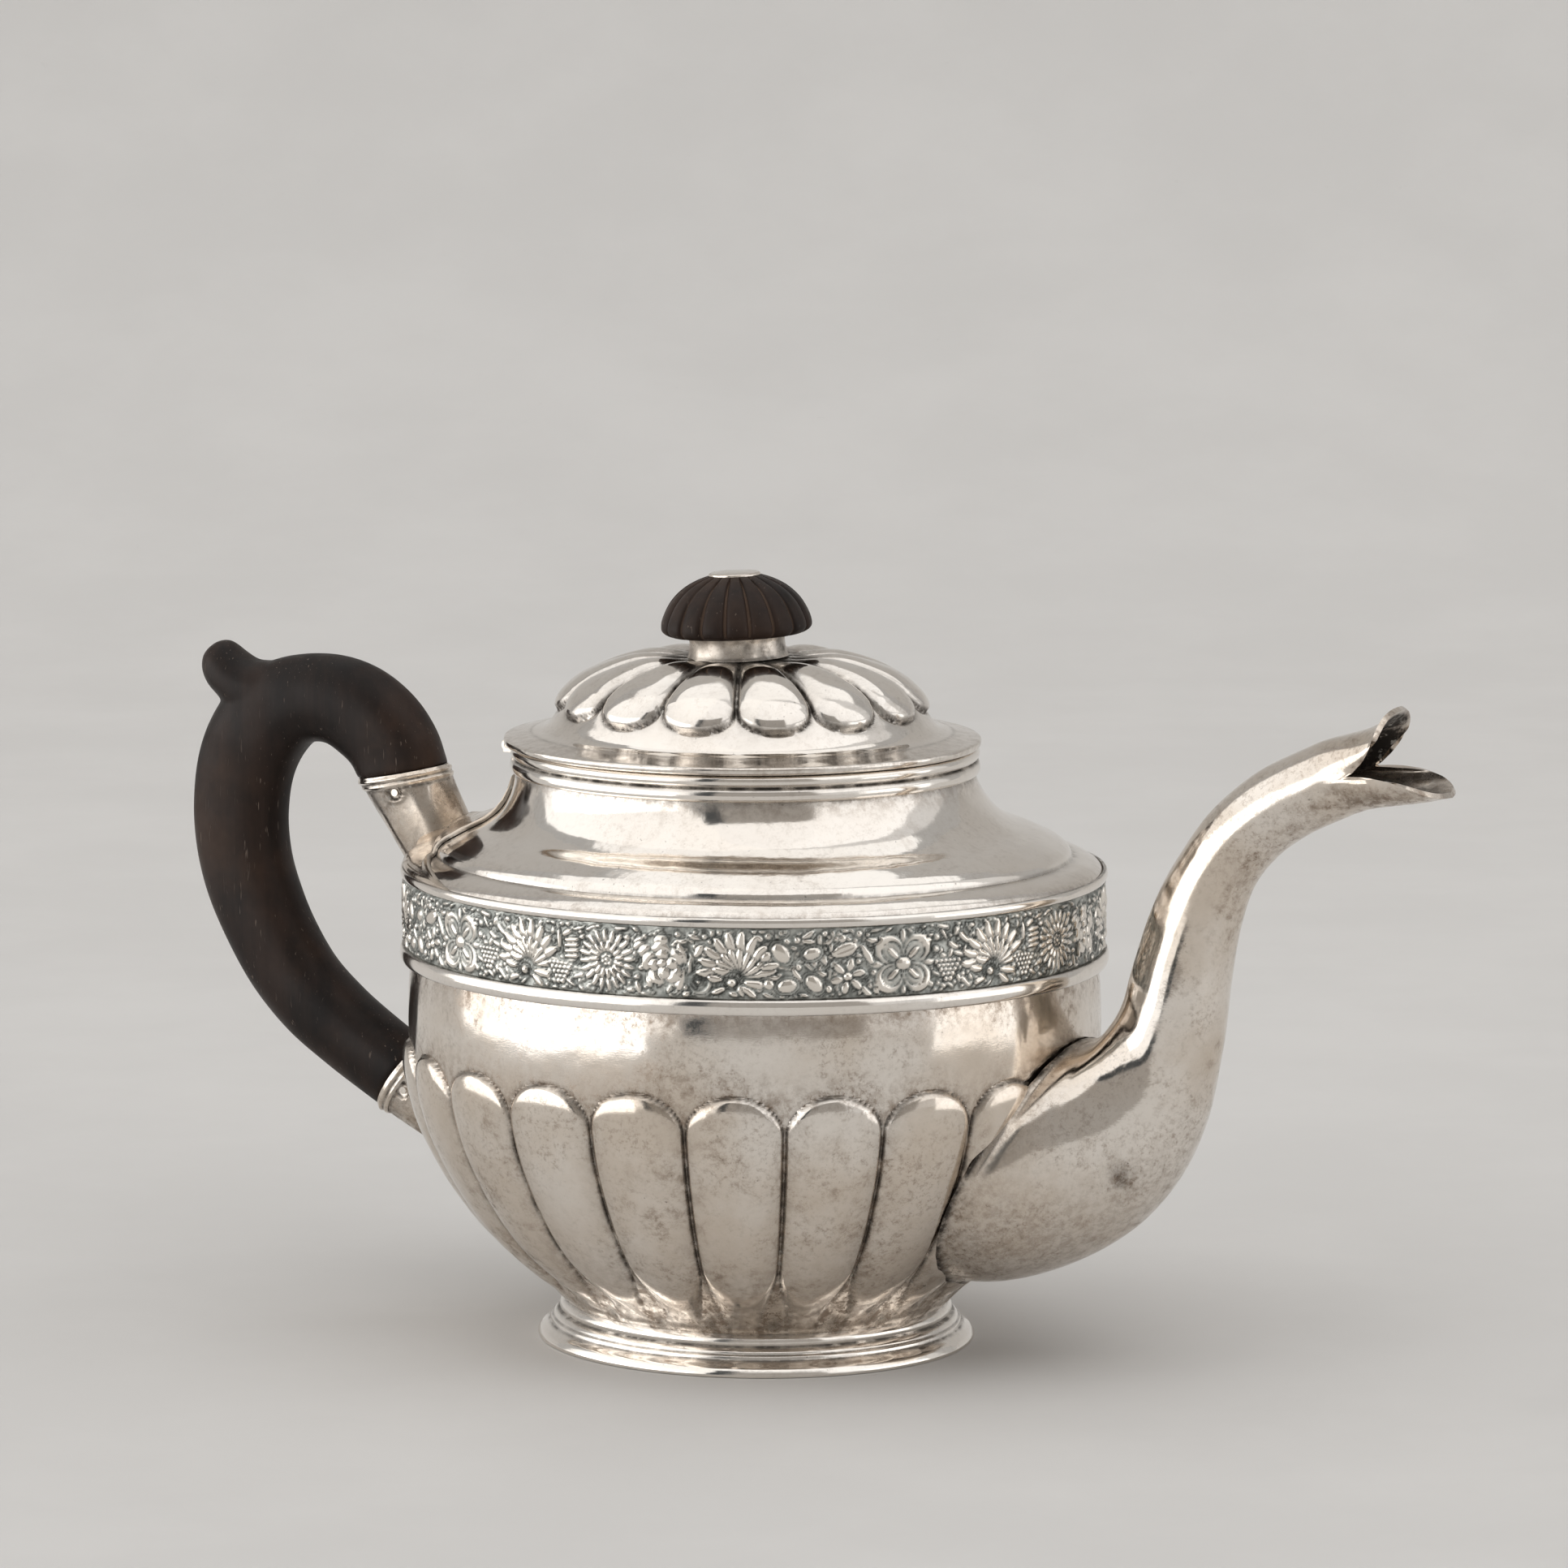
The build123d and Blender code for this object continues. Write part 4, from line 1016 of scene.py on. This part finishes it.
def mouth_edge(angles):
    """The spout's open edge at each angle: lower lip, corners of the mouth, and the leaf that curls up."""
    turn = np.abs((angles + math.pi) % TURN - math.pi)          # 0 at the lip's tip, pi at the leaf's tip
    side = np.where(np.sin(angles) < 0, -1.0, 1.0)
    lip = curve_through(LOWER_LIP, np.clip(1 - turn / (math.pi / 2), 0, 1))
    leaf = curve_through(LEAF_EDGE, np.clip(turn / (math.pi / 2) - 1, 0, 1))
    edge = np.where((turn < math.pi / 2)[:, None], lip, leaf)
    edge[:, 1] *= side
    return edge, turn


def spout_grid(angles):
    """Outer skin of the spout, from inside the bowl's wall to the open edge of its mouth."""
    body = swept(SPOUT_SECTIONS, 220, angles)
    edge, turn = mouth_edge(angles)
    last = body[:, -1]
    run = unit(last - body[:, -2])
    gap = np.linalg.norm(edge - last, axis=1)[:, None]
    lower, upper = np.array([0.93, 0.0, 0.36]), np.array([0.55, 0.0, 0.83])
    share = smoothstep(turn, math.pi / 2 - 0.25, math.pi / 2 + 0.25)[:, None]
    aim = unit(lower * (1 - share) + upper * share)
    t = np.linspace(0, 1, 46)[None, 1:, None]
    beak = blend(t, last[:, None], (run * gap)[:, None], edge[:, None], (aim * gap)[:, None])
    return np.concatenate([body, beak], axis=1)


def inside_bowl(points, sink=0.5):
    """Above 0 outside the bowl's wall, below 0 inside it, for points in mm."""
    wall = curve_through(BOWL_PROFILE, np.linspace(0, 1, 400))
    reach = np.interp(points[..., 2], wall[:, 1], wall[:, 0], left=0.0, right=77.0) - sink
    return np.hypot(points[..., 0], points[..., 1] * OVAL) - reach


def trimmed(grid, rows_out):
    """Cuts each line of the spout where it leaves the bowl, and spreads its points again."""
    out = inside_bowl(grid)
    columns, rows = out.shape
    lines = []
    for i in range(columns):
        hidden = np.nonzero(out[i] < 0)[0]
        k = hidden[-1] if len(hidden) else 0
        f = out[i, k] / (out[i, k] - out[i, k + 1]) if len(hidden) else 0.0
        start = grid[i, k] * (1 - f) + grid[i, k + 1] * f
        line = np.concatenate([start[None], grid[i, k + 1:]])
        length = lengths(line)
        s = np.linspace(0, 1, rows_out)
        at = (0.6 * s + 0.4 * s**2) * length[-1]
        lines.append(read_line(at, length, line))
    return np.array(lines)


def make_spout():
    angles = ring_angles(132)
    grid = trimmed(spout_grid(angles), 250)
    normals = grid_normals(grid) * outward_sign(grid)
    from_root = lengths(grid.mean(0))
    start = np.linalg.norm(grid - grid[:, :1], axis=-1)
    seam = bell(start, 0, 1.3)
    waves = 0.16 * lattice_noise(grid, 17, 81) + 0.07 * lattice_noise(grid, 7, 82)
    quiet = smoothstep(from_root[-1] - from_root, 0.5, 9.0)[None, :]
    lumps = 0.5 + 0.5 * lattice_noise(grid, 2.2, 83)
    dent_at = np.array([92.5, -17.0, 43.6])
    dent = np.exp(-(np.linalg.norm((grid - dent_at) / (2.0, 6.0, 4.0), axis=-1)) ** 2)
    lift = waves * quiet + seam * (0.5 + 0.5 * lumps) - 0.75 * dent
    outer = grid + normals * lift[..., None]
    rim = smoothstep(from_root, from_root[-1] - 1.6, from_root[-1])[None, :]
    outer = outer + normals * (0.28 * rim)[..., None]
    inner = grid - normals * SPOUT_WALL
    ring = np.concatenate([outer, inner[:, ::-1]], axis=1)
    groove = bell(start, 0, 1.1) * 0.95 + 0.35 * np.exp(-start / 5.0)
    turn = np.abs((angles + math.pi) % TURN - math.pi)
    near_mouth = smoothstep(from_root, from_root[-1] - 24, from_root[-1] - 6)[None, :]
    tip = smoothstep(from_root, from_root[-1] - 9, from_root[-1] - 2)[None, :]
    # Painted shade inside the spout's mouth: the inner skin is darkened only where the inside shows near the
    # mouth, most under the curling leaf and along the lower trough, less towards the lip's tip.
    trough = 0.05 + 0.95 * np.exp(-((turn / 0.7) ** 2))[:, None] * (1 - 0.6 * tip)
    black = np.where(turn[:, None] > math.pi / 2, 1.0 - 0.25 * tip, np.maximum(trough, 1 - 2.6 * tip))
    mouth_painted_shade = np.maximum(1.7 * black * near_mouth * (1 - rim), 0.2)
    # The cavity mark: deposit in the seam and dent on the outer skin, painted shade on the inner skin.
    dirt = np.concatenate([np.clip(groove + 0.55 * dent, 0, 1), mouth_painted_shade[:, ::-1]], axis=1)
    # Painted shade: the under terms give downward-facing spout surfaces extra brown film, more near the
    # mouth, standing for the shadowed floor they reflect; the root and dent terms are film.
    under = smoothstep(-normals[..., 2], -0.1, 0.7)
    film = 0.65 * np.exp(-start / 7.0) + 0.42 * under + 0.40 * near_mouth * under + 0.7 * dent
    film = np.concatenate([np.clip(film, 0, 1), 0.4 + 0 * film], axis=1)
    ring_piece("spout_tube", ring, silver_spout, "pot", ["spout"],
               {"cavity": dirt, "film": film}, 60)


# ---------------------------------------------------------------- handle

HANDLE_SECTIONS = [((-75.2, 121.6), (-95.4, 117.8), 8.6), ((-77.9, 129), (-97.2, 120.8), 8.5),
                   ((-83, 136), (-100, 123), 8.5), ((-91, 141.8), (-103, 124.8), 8.5),
                   ((-100, 144.6), (-105.8, 125.2), 8.5),
                   ((-110, 144.6), (-108.5, 124.5), 8.5), ((-119, 142.3), (-111.3, 121.5), 8.5),
                   ((-127, 137), (-113.4, 117.8), 8.5), ((-132.6, 129.5), (-114.6, 114), 8.5),
                   ((-135.9, 121), (-115.2, 110), 8.5), ((-137.3, 110), (-115.4, 105), 8.5),
                   ((-136.7, 100), (-114.6, 98.5), 8.5), ((-134.2, 90), (-112.6, 92), 8.5),
                   ((-129.5, 79.8), (-109.4, 84.7), 8.5), ((-122.7, 68.9), (-104, 76.3), 8.5),
                   ((-114, 59.6), (-97.4, 70), 8.5), ((-104, 52.3), (-91, 65.2), 8.3),
                   ((-91, 44.2), (-81, 58.5), 8.2)]
SPUR_SECTIONS = [((-111.0, 141.0), (-119.0, 124.5), 7.4), ((-117.0, 142.6), (-125.6, 128.6), 7.5),
                 ((-122.4, 142.8), (-130.0, 133.8), 7.2), ((-125.6, 144.5), (-133.0, 136.8), 6.6),
                 ((-127.8, 146.1), (-134.5, 139.8), 5.6), ((-129.6, 146.85), (-134.7, 142.4), 4.0),
                 ((-131.6, 146.4), (-134.2, 144.2), 1.6)]


def solid_tube(sections, rows, count, power):
    """Points and faces of a closed tube through sections."""
    return closed_ends(swept(sections, rows, ring_angles(count), power))


def make_handle():
    """The carved handle: its grip and its thumb spur, grown into one piece of wood."""
    grip, grip_faces = solid_tube(HANDLE_SECTIONS, 150, 64, 0.92)
    spur, spur_faces = solid_tube(SPUR_SECTIONS, 56, 48, 0.95)
    faces = grip_faces + [f + len(grip) for f in spur_faces]
    piece = make_piece("handle_carved_wood", np.concatenate([grip, spur]), faces, handle_wood, "pot",
                       ["handle_wood"])
    remesh = piece.modifiers.new("grown_together", "REMESH")
    remesh.mode = "VOXEL"
    remesh.voxel_size = 0.55 * MM
    remesh.use_smooth_shade = True
    smooth = piece.modifiers.new("rubbed", "SMOOTH")
    smooth.factor = 0.5
    smooth.iterations = 10


# ---------------------------------------------------------------- sockets and saddle

UPPER_SOCKET = [((-75.2, 121.6), (-95.4, 117.8), 8.9), ((-73, 117.2), (-92.6, 113), 8.6),
                ((-66.6, 104), (-82.4, 97.6), 7.4)]
LOWER_SOCKET = [((-91.2, 43.91), (-80.8, 58.79), 8.5), ((-88.6, 42.4), (-78.3, 56.6), 8.1),
                ((-66.5, 30.2), (-57, 44), 7.2)]
SOCKET_WALL = 0.8
PIN_DISH = 0.6                  # how deep the sheet is dished round each pin


def socket_pieces(name, sections, pin, seed, facets):
    """A tapering tube for the handle's end, hammered flat in places, and its moulded mouth band."""
    angles = ring_angles(96)
    grid = swept(sections, 90, angles)
    normals = grid_normals(grid) * outward_sign(grid)
    run = lengths(grid.mean(0))
    flats = facets * np.cos(6 * angles)[:, None] * smoothstep(run, 3, 8)
    lift = (0.16 * lattice_noise(grid, 6, seed) + flats) * smoothstep(run, 0.5, 3.0)
    pin_x, pin_z = (sum(span(pin, axis)) / 2 for axis in (0, 2))
    from_pin = np.hypot(grid[..., 0] - pin_x, grid[..., 2] - pin_z)
    lift = lift - PIN_DISH * smoothstep(-from_pin, -2.0, -1.3) + 0.25 * bell(from_pin, 2.2, 0.35)
    outer = grid + normals * lift[..., None]
    inner = grid - normals * SOCKET_WALL
    dirt = np.clip(0.22 + 0.5 * lattice_noise(grid, 5, seed + 1), 0, 0.7)
    dirt = np.maximum(dirt, 0.85 * bell(run, 3.4, 0.5))
    dirt = np.maximum(dirt, bell(from_pin, 1.6, 0.45))
    film = np.clip(0.55 + 0.6 * lattice_noise(grid, 7, seed + 2), 0.15, 1)
    marks = {"cavity": np.concatenate([dirt, 0.5 + 0 * dirt], axis=1),
             "film": np.concatenate([film, film[:, ::-1]], axis=1)}
    ring = np.concatenate([outer, inner[:, ::-1]], axis=1)
    ring_piece(name + "_tube", ring, silver_socket, "pot", [name], marks)
    band_rows = np.linspace(0.0, 3.0, 19)
    lines = np.stack([read_line(band_rows, run, column) for column in grid])
    band_normals = np.stack([read_line(band_rows, run, column) for column in normals])
    ridges = 0.15 + 0.55 * bell(band_rows, 0.9, 0.55) + 0.38 * bell(band_rows, 2.35, 0.4)
    top = lines + band_normals * ridges[None, :, None]
    bottom = lines + band_normals * 0.02
    ring = np.concatenate([top, bottom[:, ::-1]], axis=1)
    hollows = 0.9 * bell(band_rows, 1.7, 0.3) + 0.5 * bell(band_rows, 3.0, 0.2)
    marks = {"cavity": np.broadcast_to(np.concatenate([hollows, hollows[::-1]]), ring.shape[:2])}
    ring_piece(name + "_moulding", ring, silver_socket, "pot", [name + "_band"], marks)


# The saddle's upper edge: degrees from the handle side, and half length of the oval there.
SADDLE_EDGE = [(0.0, 50.9), (20.5, 50.9), (22.0, 55.0), (23.6, 58.8), (26.0, 63.3), (28.4, 69.0),
               (31.5, 71.4), (35.3, 72.3), (43.4, 74.3), (51.1, 76.2), (56.5, 77.1)]


def make_saddle():
    """The sheet that spreads the upper socket's pull over the shoulder, with a tongue up the neck."""
    line = shoulder_line(0.5)
    normals = line_normals(line)
    reach = line[:, 0]
    spread = np.linspace(-1, 1, 181)
    degrees = np.sign(spread) * 56.0 * np.abs(spread) ** 0.9
    edge = np.array(SADDLE_EDGE)
    inner_reach = np.interp(np.abs(degrees), edge[:, 0], edge[:, 1])
    rows = 70
    run = lengths(line)
    angles = math.pi - np.radians(degrees)
    socket = swept(UPPER_SOCKET, 60, ring_angles(40)).reshape(-1, 3)
    top, bottom, dirt = [], [], []
    for angle, far in zip(angles, inner_reach):
        stop = np.interp(-far, -reach, run)
        at = np.linspace(0.0, max(stop, 0.4), rows)
        place = read_line(at, run, line)
        out = unit(read_line(at, run, normals))
        c, s = math.cos(angle), math.sin(angle)

        def spot(p, lean):
            return np.stack([p[:, 0] * c + lean, p[:, 0] * s / OVAL, p[:, 1]], axis=-1)
        lean = neck_lean(place[:, 1])
        base = spot(place, lean)
        away = np.linalg.norm(base[:, None] - socket[None, ::7], axis=-1).min(axis=1)
        collar = 1.5 * bell(away, 0, 2.6)
        border = np.minimum(at, at[-1] - at)
        thick = 0.15 + 0.6 * np.sqrt(np.clip(border / 0.7, 0, 1)) + 0.22 * bell(border, 1.1, 0.5)
        wave = 0.10 * lattice_noise(base, 6, 91)
        direction = spot(out, 0.0)
        top.append(base + direction * (thick + collar + wave * (border > 1))[:, None])
        bottom.append(base + direction * 0.02)
        dirt.append(np.clip(0.8 * bell(border, 0, 0.4) + 0.35 * bell(away, 0, 2.0)
                            + 0.2 * lattice_noise(base, 5, 92), 0, 0.9))
    top, bottom, dirt = np.array(top), np.array(bottom), np.array(dirt)
    columns = len(angles)
    grid = np.concatenate([top, bottom[:, ::-1]], axis=1)
    faces = [grid_faces(columns, 2 * rows, False, True)]
    side = np.arange(rows - 1)
    first = np.stack([side, side + 1, 2 * rows - 2 - side, 2 * rows - 1 - side], axis=-1)
    last = first[:, ::-1] + (columns - 1) * 2 * rows
    make_piece("saddle_sheet", grid.reshape(-1, 3), faces + [first, last], silver_socket, "pot",
               ["upper_socket_saddle"], {"cavity": np.concatenate([dirt, dirt[:, ::-1]], axis=1)})


# ---------------------------------------------------------------- CAD nodes that stay

def dress_cad_nodes():
    """The pins, knuckles, bezel, stem and nut keep their CAD meshes and take worked silver."""
    for node in ("lid_bezel", "pot_hinge_knuckles", "lid_hinge_knuckles", "hinge_pin", "knob_stem",
                 "knob_nut", "upper_handle_pin", "lower_handle_pin"):
        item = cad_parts[node]
        item.data.materials.clear()
        item.data.materials.append(silver_part)


# ---------------------------------------------------------------- camera, stage and light

AZIMUTH, ELEVATION, ROLL = (math.radians(a) for a in (24.687, 8.544, -0.333))
CAMERA_DISTANCE = 1.612
TARGET = (0.006859, 0.121576)           # to the right of and above the pot's origin
LENS = 170.67


def view_axes():
    back = Vector((math.sin(AZIMUTH) * math.cos(ELEVATION), -math.cos(AZIMUTH) * math.cos(ELEVATION),
                   math.sin(ELEVATION)))
    level = Vector((math.cos(AZIMUTH), math.sin(AZIMUTH), 0))
    return back, level, back.cross(level)


def make_camera():
    back, level, up = view_axes()
    right = level * math.cos(ROLL) + up * math.sin(ROLL)
    above = up * math.cos(ROLL) - level * math.sin(ROLL)
    target = level * TARGET[0] + Vector((0, 0, TARGET[1]))
    data = bpy.data.cameras.new("camera")
    data.lens = LENS
    data.sensor_width = 36.0
    data.clip_start, data.clip_end = 0.05, 20
    camera = bpy.data.objects.new("camera", data)
    scene.collection.objects.link(camera)
    camera.matrix_world = Matrix((
        (right.x, above.x, back.x, target.x + CAMERA_DISTANCE * back.x),
        (right.y, above.y, back.y, target.y + CAMERA_DISTANCE * back.y),
        (right.z, above.z, back.z, target.z + CAMERA_DISTANCE * back.z), (0, 0, 0, 1)))
    scene.camera = camera


PAPER_DARK, PAPER_PALE = (0.645, 0.635, 0.622), (0.675, 0.665, 0.652)


def make_stage():
    """A pale paper sweep: floor, a wide curve, and a wall behind. Sizes are in metres."""
    front, wall_at, sweep, top, half = -2.2, 1.9, 0.9, 2.6, 2.4
    bend = [(wall_at - sweep + sweep * math.sin(a), sweep - sweep * math.cos(a))
            for a in np.linspace(0, math.pi / 2, 28)]
    line = [(front, 0.0)] + bend + [(wall_at, top)]
    mesh = bpy.data.meshes.new("paper_sweep")
    points = [(x, y, z) for x in (-half, half) for y, z in line]
    n = len(line)
    mesh.from_pydata(points, [], [(k, k + 1, n + k + 1, n + k) for k in range(n - 1)])
    mesh.shade_smooth()
    sweep_object = bpy.data.objects.new("paper_sweep", mesh)
    sweep_object.rotation_euler = (0, 0, AZIMUTH)
    scene.collection.objects.link(sweep_object)
    paper = Nodes(bpy.data.materials.new("pale_paper"))
    tone = paper.mix(paper.ramp(paper.noise(9, 5, 0.6), 0.35, 0.7), PAPER_DARK, PAPER_PALE)
    flecks = paper.ramp(paper.noise(160, 4, 0.6), 0.70, 0.77, 0.0, 0.10)
    paper.link(paper.mix(flecks, tone, (0.46, 0.45, 0.44)), paper.shader.inputs["Base Color"])
    paper.shader.inputs["Roughness"].default_value = 0.85
    paper.shader.inputs["Specular IOR Level"].default_value = 0.2
    paper.link(paper.bump(paper.noise(140, 4, 0.6), 0.0006, 0.12), paper.shader.inputs["Normal"])
    mesh.materials.append(paper.owner)


# The studio, as patches of light seen from the pot: degrees to the right of the camera from and to,
# degrees up from and to, brightness and tint. A later patch covers an earlier one.
ROOM = (0.44, (1.0, 0.985, 0.965))
PATCHES = [(-181, 181, 52, 91, 1.12, (1.0, 0.99, 0.975)),
           (-118, -30, -30, 91, 1.22, (1.0, 0.985, 0.965)),
           (28, 112, -30, 91, 0.72, (1.0, 0.985, 0.97)),
           (28, 92, 17, 91, 1.20, (1.0, 0.99, 0.98)),
           (-31, 28, 44, 91, 1.16, (1.0, 0.99, 0.98)),
           (-31, -21, -30, 44, 0.07, (0.92, 1.0, 1.06)),
           (-21, 28, -30, 44, 0.38, (1.0, 0.95, 0.89))]
PATCH_EDGE = 1.2                # degrees over which one patch fades into the next
# Cards: name, degrees to the right of the camera, distance, width and height in metres, strength.
CARDS = [("left_card", -72, 0.46, 0.62, 0.30, 1.25), ("right_card", 70, 0.50, 0.40, 0.22, 0.8)]


def make_light():
    """A soft white studio round the pot, with a darker doorway behind the camera."""
    back, level, _ = view_axes()
    facing = Vector((back.x, back.y, 0)).normalized()
    studio = Nodes(bpy.data.worlds.new("studio"), "Generated")

    def part(axis):
        node = studio.tree.nodes.new("ShaderNodeVectorMath")
        node.operation = "DOT_PRODUCT"
        studio.link(studio.place, node.inputs[0])
        node.inputs[1].default_value = axis
        return node.outputs["Value"]

    def degrees(kind, *parts):
        return studio.math("MULTIPLY", studio.math(kind, *parts), 180 / math.pi)

    def above_edge(a, b):
        return studio.math("ADD", studio.math("DIVIDE", studio.math("SUBTRACT", a, b), PATCH_EDGE), 0.5)

    def between(value, low, high):
        inside = studio.math("MINIMUM", above_edge(value, low), above_edge(high, value))
        return studio.math("MAXIMUM", studio.math("MINIMUM", inside, 1.0), 0.0)

    side = degrees("ARCTAN2", part(level), part(facing))
    up = degrees("ARCSINE", part((0, 0, 1)))
    colour = tuple(ROOM[0] * c for c in ROOM[1])
    for left, right, low, high, strength, tint in PATCHES:
        mask = studio.math("MULTIPLY", between(side, left, right), between(up, low, high))
        colour = studio.mix(mask, colour, tuple(strength * c for c in tint))
    studio.link(colour, studio.tree.nodes["Background"].inputs["Color"])
    scene.world = studio.owner
    for card in CARDS:
        low_card(*card)
    scene.view_settings.view_transform = "Standard"
    scene.view_settings.look = "None"


def low_card(name, turn, distance, width, height, strength):
    """A lit card that stands on the floor beside the pot and shows only in its reflections."""
    back, _, _ = view_axes()
    base = math.atan2(back.y, back.x) + math.radians(turn)
    centre = Vector((distance * math.cos(base), distance * math.sin(base), height / 2))
    data = bpy.data.lights.new(name, "AREA")
    data.shape = "RECTANGLE"
    data.size, data.size_y = width, height
    data.energy = strength * math.pi * width * height
    lamp = bpy.data.objects.new(name, data)
    lamp.location = centre
    toward = Vector((centre.x, centre.y, 0))
    lamp.rotation_euler = toward.to_track_quat("Z", "Y").to_euler()
    lamp.visible_camera = False
    lamp.visible_diffuse = False
    scene.collection.objects.link(lamp)


make_camera()
make_stage()
make_light()
make_bowl()
make_foot()
make_bands()
make_shoulder()
make_rim()
make_frieze()
make_lid()
make_knob()
make_spout()
make_handle()
socket_pieces("upper_socket", UPPER_SOCKET, "upper_handle_pin", 101, 0.16)
socket_pieces("lower_socket", LOWER_SOCKET, "lower_handle_pin", 111, 0.05)
make_saddle()
dress_cad_nodes()
